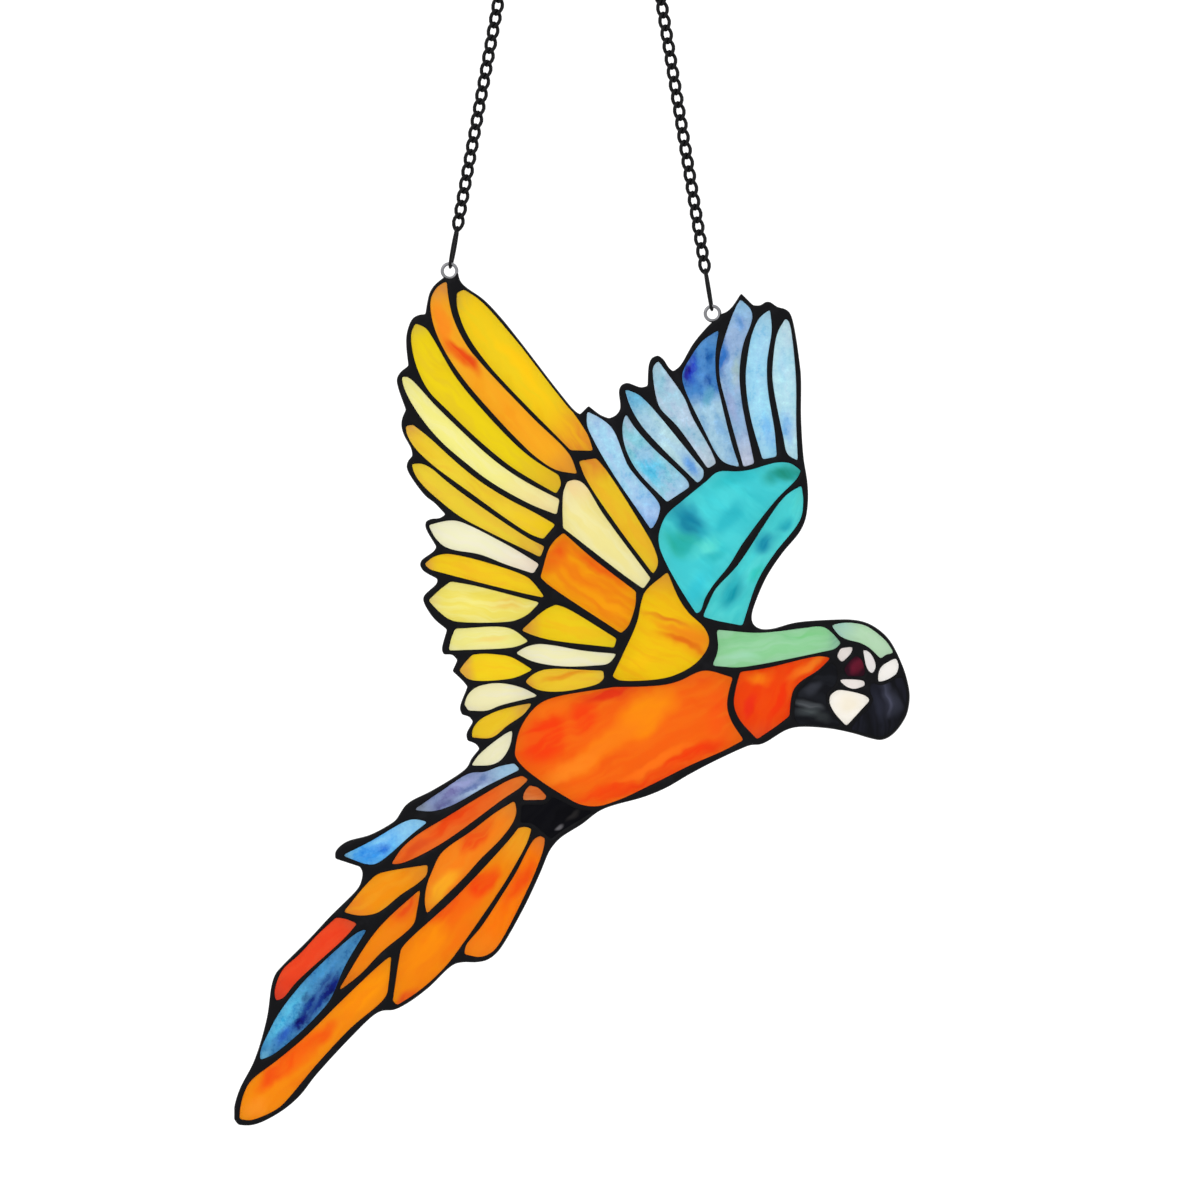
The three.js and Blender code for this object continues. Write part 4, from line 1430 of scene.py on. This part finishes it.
class LinkTree(Tree):
    """The Geometry Nodes tree that lays a run of alike links from one point to another."""

    # The corners of one link's oval, and what each chain sets.
    STEPS = 16
    INPUTS = (
        ("Start", "NodeSocketVector"),
        ("End", "NodeSocketVector"),
        ("Links", "NodeSocketInt"),
        ("Half Length", "NodeSocketFloat"),
        ("Half Width", "NodeSocketFloat"),
        ("Wire Radius", "NodeSocketFloat"),
        ("Twist", "NodeSocketFloat"),
        ("Turn", "NodeSocketFloat"),
        ("Wire Steps", "NodeSocketInt"),
        ("Finish", "NodeSocketMaterial"),
    )

    def __init__(self) -> None:
        """Builds the tree once; each chain sets its own inputs."""
        super().__init__(bpy.data.node_groups.new("LinkRun", "GeometryNodeTree"))
        face = self.tree.interface
        face.new_socket("Geometry", in_out="OUTPUT", socket_type="NodeSocketGeometry")
        face.new_socket("Geometry", in_out="INPUT", socket_type="NodeSocketGeometry")
        self.sockets = {
            name: face.new_socket(name, in_out="INPUT", socket_type=kind).identifier
            for name, kind in self.INPUTS
        }
        self.given = self.tree.nodes.new("NodeGroupInput")
        self.build()

    def math(self, operation: str, first: object, second: object = 0.0) -> Socket:
        """Adds a step of arithmetic.

        Args:
            operation: Blender's name for the step.
            first: A value or an output.
            second: Another, where the step takes two.

        Returns:
            The result.
        """
        node = self.tree.nodes.new("ShaderNodeMath")
        node.operation = operation
        self.link(first, node.inputs[0])
        self.link(second, node.inputs[1])
        return node.outputs["Value"]

    def build(self) -> None:
        """Makes one twisted oval link and sets a copy at each step of the line."""
        given = self.given.outputs
        share = self.node("GeometryNodeSplineParameter").outputs["Factor"]
        angle = self.math("MULTIPLY", share, 2 * math.pi)
        sine = self.math("SINE", angle)
        across = self.math("MULTIPLY", self.math("COSINE", angle), given["Half Width"])
        lean = self.math("ADD", self.math("MULTIPLY", sine, given["Twist"]), given["Turn"])
        oval = self.node(
            "ShaderNodeCombineXYZ",
            X=self.math("MULTIPLY", across, self.math("COSINE", lean)),
            Y=self.math("MULTIPLY", across, self.math("SINE", lean)),
            Z=self.math("MULTIPLY", sine, given["Half Length"]),
        ).outputs["Vector"]
        circle = self.node("GeometryNodeCurvePrimitiveCircle", Resolution=self.STEPS)
        wire = self.node(
            "GeometryNodeSetPosition", Geometry=circle.outputs["Curve"], Position=oval
        ).outputs["Geometry"]
        profile = self.node(
            "GeometryNodeCurvePrimitiveCircle",
            Resolution=given["Wire Steps"],
            Radius=given["Wire Radius"],
        )
        link = self.node(
            "GeometryNodeCurveToMesh", Curve=wire, Profile_Curve=profile.outputs["Curve"]
        ).outputs["Mesh"]
        line = self.node("GeometryNodeCurvePrimitiveLine", Start=given["Start"], End=given["End"])
        steps = self.node(
            "GeometryNodeResampleCurve", Curve=line.outputs["Curve"], Count=given["Links"]
        ).outputs["Curve"]
        run = self.vector("SUBTRACT", given["End"], given["Start"])
        upright = self.node("FunctionNodeAlignRotationToVector", Vector=run)
        upright.axis = "Z"
        upright.pivot_axis = "Y"
        points = self.node("GeometryNodeCurveToPoints", Curve=steps)
        points.mode = "EVALUATED"
        copies = self.node(
            "GeometryNodeInstanceOnPoints",
            Points=points.outputs["Points"],
            Instance=link,
            Rotation=upright.outputs["Rotation"],
        ).outputs["Instances"]
        real = self.node("GeometryNodeRealizeInstances", Geometry=copies).outputs["Geometry"]
        smooth = self.node("GeometryNodeSetShadeSmooth", Geometry=real).outputs["Geometry"]
        dressed = self.node(
            "GeometryNodeSetMaterial", Geometry=smooth, Material=given["Finish"]
        ).outputs["Geometry"]
        out = self.tree.nodes.new("NodeGroupOutput")
        self.tree.links.new(dressed, out.inputs["Geometry"])

    def laid(self, name: str, values: dict[str, object]) -> bpy.types.Object:
        """Lays one run and turns it into a plain mesh.

        Args:
            name: The name of the piece.
            values: A value for each named input.

        Returns:
            The object of the run.
        """
        holder = bpy.data.objects.new(name + "_tree", bpy.data.meshes.new(name + "_tree"))
        bpy.context.scene.collection.objects.link(holder)
        modifier = holder.modifiers.new("links", "NODES")
        modifier.node_group = self.tree
        for key, value in values.items():
            modifier[self.sockets[key]] = value
        bpy.context.view_layer.update()
        seen = holder.evaluated_get(bpy.context.evaluated_depsgraph_get())
        mesh = bpy.data.meshes.new_from_object(seen)
        mesh.name = name
        bpy.data.objects.remove(holder)
        made = bpy.data.objects.new(name, mesh)
        bpy.context.scene.collection.objects.link(made)
        return made


class Side(Enum):
    """Which of the two chains."""

    LEFT = "left"
    RIGHT = "right"


class LinkKind(Enum):
    """Which links of a chain; the value ends the name of the piece."""

    SMALL = "links"
    LONG = "long_link"
    TOP = "top_link"


@dataclass(frozen=True)
class Run:
    """A run of alike links between two places on the line of a chain; angles are in degrees."""

    kind: LinkKind
    start: float
    end: float
    links: int
    wire: float
    width: float
    twist: float = 0.0
    turn: float = 0.0


@dataclass
class Hanger:
    """The two chains, the two soldered rings and the ring that everything hangs from."""

    chain_finish: DarkMetal
    wire_finish: BrightWire
    link_wire: float = 1.3 * MM
    link_width: float = 4.4 * MM
    link_pitch: float = 4.3 * MM
    link_twist: float = 45
    long_link: float = 14.7 * MM
    long_wire: float = 1.05 * MM
    long_width: float = 4.15 * MM
    long_turn: float = 77
    top_link: float = 7.6 * MM
    top_turn: float = 90
    wire_steps: int = 7
    least_run: float = 0.01 * MM
    ring_outer: float = 6 * MM
    ring_wire: float = 1.15 * MM
    hanger_inside: float = 9 * MM
    hanger_wire: float = 1.4 * MM
    ring_steps: int = 48
    ring_sides: int = 14
    top_spread: float = 0.9 * MM
    ring_gap: float = 0.1 * MM
    fit_gap: float = 0.3 * MM
    left_ring: Squares = (449.5, 271.0)
    right_ring: Squares = (712.5, 313.5)
    pieces: list[bpy.types.Object] = field(default_factory=list)

    def build(self) -> list[bpy.types.Object]:
        """Builds both chains and the three rings.

        Returns:
            The finished pieces.
        """
        tree = LinkTree()
        black = self.chain_finish.dress()
        for side, squares in ((Side.LEFT, self.left_ring), (Side.RIGHT, self.right_ring)):
            self.chain(tree, black, side, squares)
            self.ring("soldered_ring_" + side.value, squares)
        self.top_ring()
        return self.pieces

    def chain(self, tree: LinkTree, finish: bpy.types.Material, side: Side, squares: Squares) -> None:
        """Lays one chain from its soldered ring to the hanging ring.

        Args:
            tree: The tree that lays links.
            finish: The black of the chain.
            side: Which chain.
            squares: The middle of its soldered ring, on the cartoon.
        """
        x, z = place(squares)
        ring = Vector((x, 0, z))
        spread = math.copysign(self.top_spread / 2, x)
        top = Vector((spread, 0, -self.hanger_inside / 2))
        along = (top - ring).normalized()
        distance = (top - ring).length
        ring_hold = self.ring_outer / 2 - self.ring_wire - self.ring_gap
        top_hold = distance - self.hanger_inside / 2 + self.fit_gap
        run_start = ring_hold + self.long_link - 2 * self.long_wire
        run_end = top_hold - (self.top_link - 2 * self.long_wire)
        count = round((run_end - run_start) / self.link_pitch)
        small = (count, self.link_wire, self.link_width)
        single = (1, self.long_wire, self.long_width)
        runs = (
            Run(LinkKind.SMALL, run_start, run_end, *small, twist=self.link_twist),
            Run(LinkKind.LONG, ring_hold, run_start, *single, turn=self.long_turn),
            Run(LinkKind.TOP, run_end, top_hold, *single, turn=self.top_turn),
        )
        for run in runs:
            pitch = (run.end - run.start) / run.links
            piece = tree.laid(
                f"chain_{side.value}_{run.kind.value}",
                {
                    "Start": tuple(ring + along * (run.start + pitch / 2)),
                    "End": tuple(ring + along * (run.end - pitch / 2 + self.least_run)),
                    "Links": run.links,
                    "Half Length": (pitch + run.wire) / 2,
                    "Half Width": (run.width - run.wire) / 2,
                    "Wire Radius": run.wire / 2,
                    "Wire Steps": self.wire_steps,
                    "Twist": math.radians(run.twist),
                    "Turn": math.radians(run.turn),
                    "Finish": finish,
                },
            )
            self.keep(piece, "chain_" + side.value)

    def ring(self, name: str, squares: Squares) -> None:
        """Bends one soldered ring, which lies in the plane of the panel.

        Args:
            name: The name of the piece.
            squares: Its middle, on the cartoon.
        """
        x, z = place(squares)
        major = (self.ring_outer - self.ring_wire) / 2
        self.keep(self.bent(name, Vector((x, 0, z)), major, self.ring_wire / 2))

    def top_ring(self) -> None:
        """Bends the ring that the panel hangs from."""
        centre = Vector((0, 0, -self.hanger_inside / 2))
        major = (self.hanger_inside + self.hanger_wire) / 2
        ring = self.bent("top_ring", centre, major, self.hanger_wire / 2)
        self.keep(ring, "hanging_ring")

    def bent(self, name: str, centre: Vector, major: float, minor: float) -> bpy.types.Object:
        """Makes a round wire ring in the plane of the panel.

        Args:
            name: The name of the piece.
            centre: Its middle.
            major: From its middle to the middle of the wire.
            minor: Half the wire.

        Returns:
            The object of the ring.
        """
        steps, sides = self.ring_steps, self.ring_sides
        points = []
        for i in range(steps):
            angle = 2 * math.pi * i / steps
            out = Vector((math.cos(angle), 0, math.sin(angle)))
            for k in range(sides):
                around = 2 * math.pi * k / sides
                reach = out * (major + minor * math.cos(around))
                points.append(centre + reach + Vector((0, minor * math.sin(around), 0)))
        faces = []
        for i in range(steps):
            here, there = i * sides, (i + 1) % steps * sides
            for k in range(sides):
                m = (k + 1) % sides
                faces.append((here + k, here + m, there + m, there + k))
        ring = body_of(name, np.array(points), faces, SHARP_METAL)
        ring.data.materials.append(self.wire_finish.dress())
        return ring

    def keep(self, piece: bpy.types.Object, node: str | None = None) -> None:
        """Attaches a finished piece to the body, hides the node that it stands for and keeps it.

        Args:
            piece: The piece.
            node: The node that it stands for, if any.
        """
        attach(piece, BODY)
        if node is not None:
            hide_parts(node)
        self.pieces.append(piece)


@dataclass
class Stage:
    """The camera of the photograph, its even white light and a plain floor."""

    aim: Squares = (600.0, 600.0)
    lens: float = 100.0
    sensor: float = 36.0
    light_strength: float = 1.2
    lamp_power: float = 1.6
    lamp_size: float = 0.5
    lamp_at: tuple[float, float, float] = (-0.55, -0.8, 0.25)
    lamp_aim: tuple[float, float, float] = (0, 0, -0.4)
    floor_height: float = -640 * MM
    floor_half: float = 280 * MM
    floor_grey: float = 0.86
    floor_roughness: float = 0.8

    def build(self) -> None:
        """Sets up the camera, the light and the floor."""
        scene = bpy.context.scene
        scene.view_settings.view_transform = "Standard"
        scene.view_settings.look = "None"
        self.camera(scene)
        self.light(scene)
        self.floor()

    def camera(self, scene: bpy.types.Scene) -> None:
        """Puts the camera straight in front of the panel, so that it fills the same frame.

        Args:
            scene: The scene.
        """
        x, z = place(self.aim)
        width = PHOTO_SIDE * SQUARE
        data = bpy.data.cameras.new("photo_camera")
        data.lens = self.lens
        data.sensor_width = self.sensor
        camera = bpy.data.objects.new("photo_camera", data)
        camera.location = (x, -width * self.lens / self.sensor, z)
        camera.rotation_euler = (math.pi / 2, 0, 0)
        scene.collection.objects.link(camera)
        scene.camera = camera

    def light(self, scene: bpy.types.Scene) -> None:
        """Lights the panel from all round in white, with one soft lamp for its gloss.

        Args:
            scene: The scene.
        """
        world = bpy.data.worlds.new("white_room")
        world.use_nodes = True
        back = world.node_tree.nodes["Background"]
        back.inputs["Color"].default_value = (1, 1, 1, 1)
        back.inputs["Strength"].default_value = self.light_strength
        scene.world = world
        lamp = bpy.data.lights.new("soft_lamp", "AREA")
        lamp.energy = self.lamp_power
        lamp.size = self.lamp_size
        holder = bpy.data.objects.new("soft_lamp", lamp)
        holder.location = self.lamp_at
        aim = Vector(self.lamp_aim) - holder.location
        holder.rotation_euler = aim.to_track_quat("-Z", "Y").to_euler()
        scene.collection.objects.link(holder)

    def floor(self) -> None:
        """Lays a small pale floor well below the panel."""
        half = self.floor_half
        x, _ = place(self.aim)
        corners = [(-1, -1), (1, -1), (1, 1), (-1, 1)]
        points = np.array([(x + a * half, b * half, self.floor_height) for a, b in corners])
        floor = body_of("floor", points, [(0, 1, 2, 3)], SHARP_METAL)
        nodes = Nodes("pale_floor")
        grey = (self.floor_grey,) * 3
        shader = nodes.principled(Base_Color=grey, Roughness=self.floor_roughness)
        floor.data.materials.append(nodes.finish(shader))


def report(piece: bpy.types.Object) -> None:
    """Logs a finished piece."""
    log.info("%s: %d faces", piece.name, len(piece.data.polygons))


def main() -> None:
    """Builds every piece in order and reports it."""
    logging.basicConfig(level=logging.INFO, format="%(name)s: %(message)s")
    Stage().build()
    solder = SolderLines(PATINA)
    edges = solder.edges()
    report(solder.build(edges))
    for number, (name, finish) in enumerate(GLASS.items()):
        report(Pane(name, finish, edges[0]).build(SEED + number))
    for piece in Hanger(CHAIN_BLACK, BRIGHT_WIRE).build():
        report(piece)


if __name__ == "__main__":
    main()
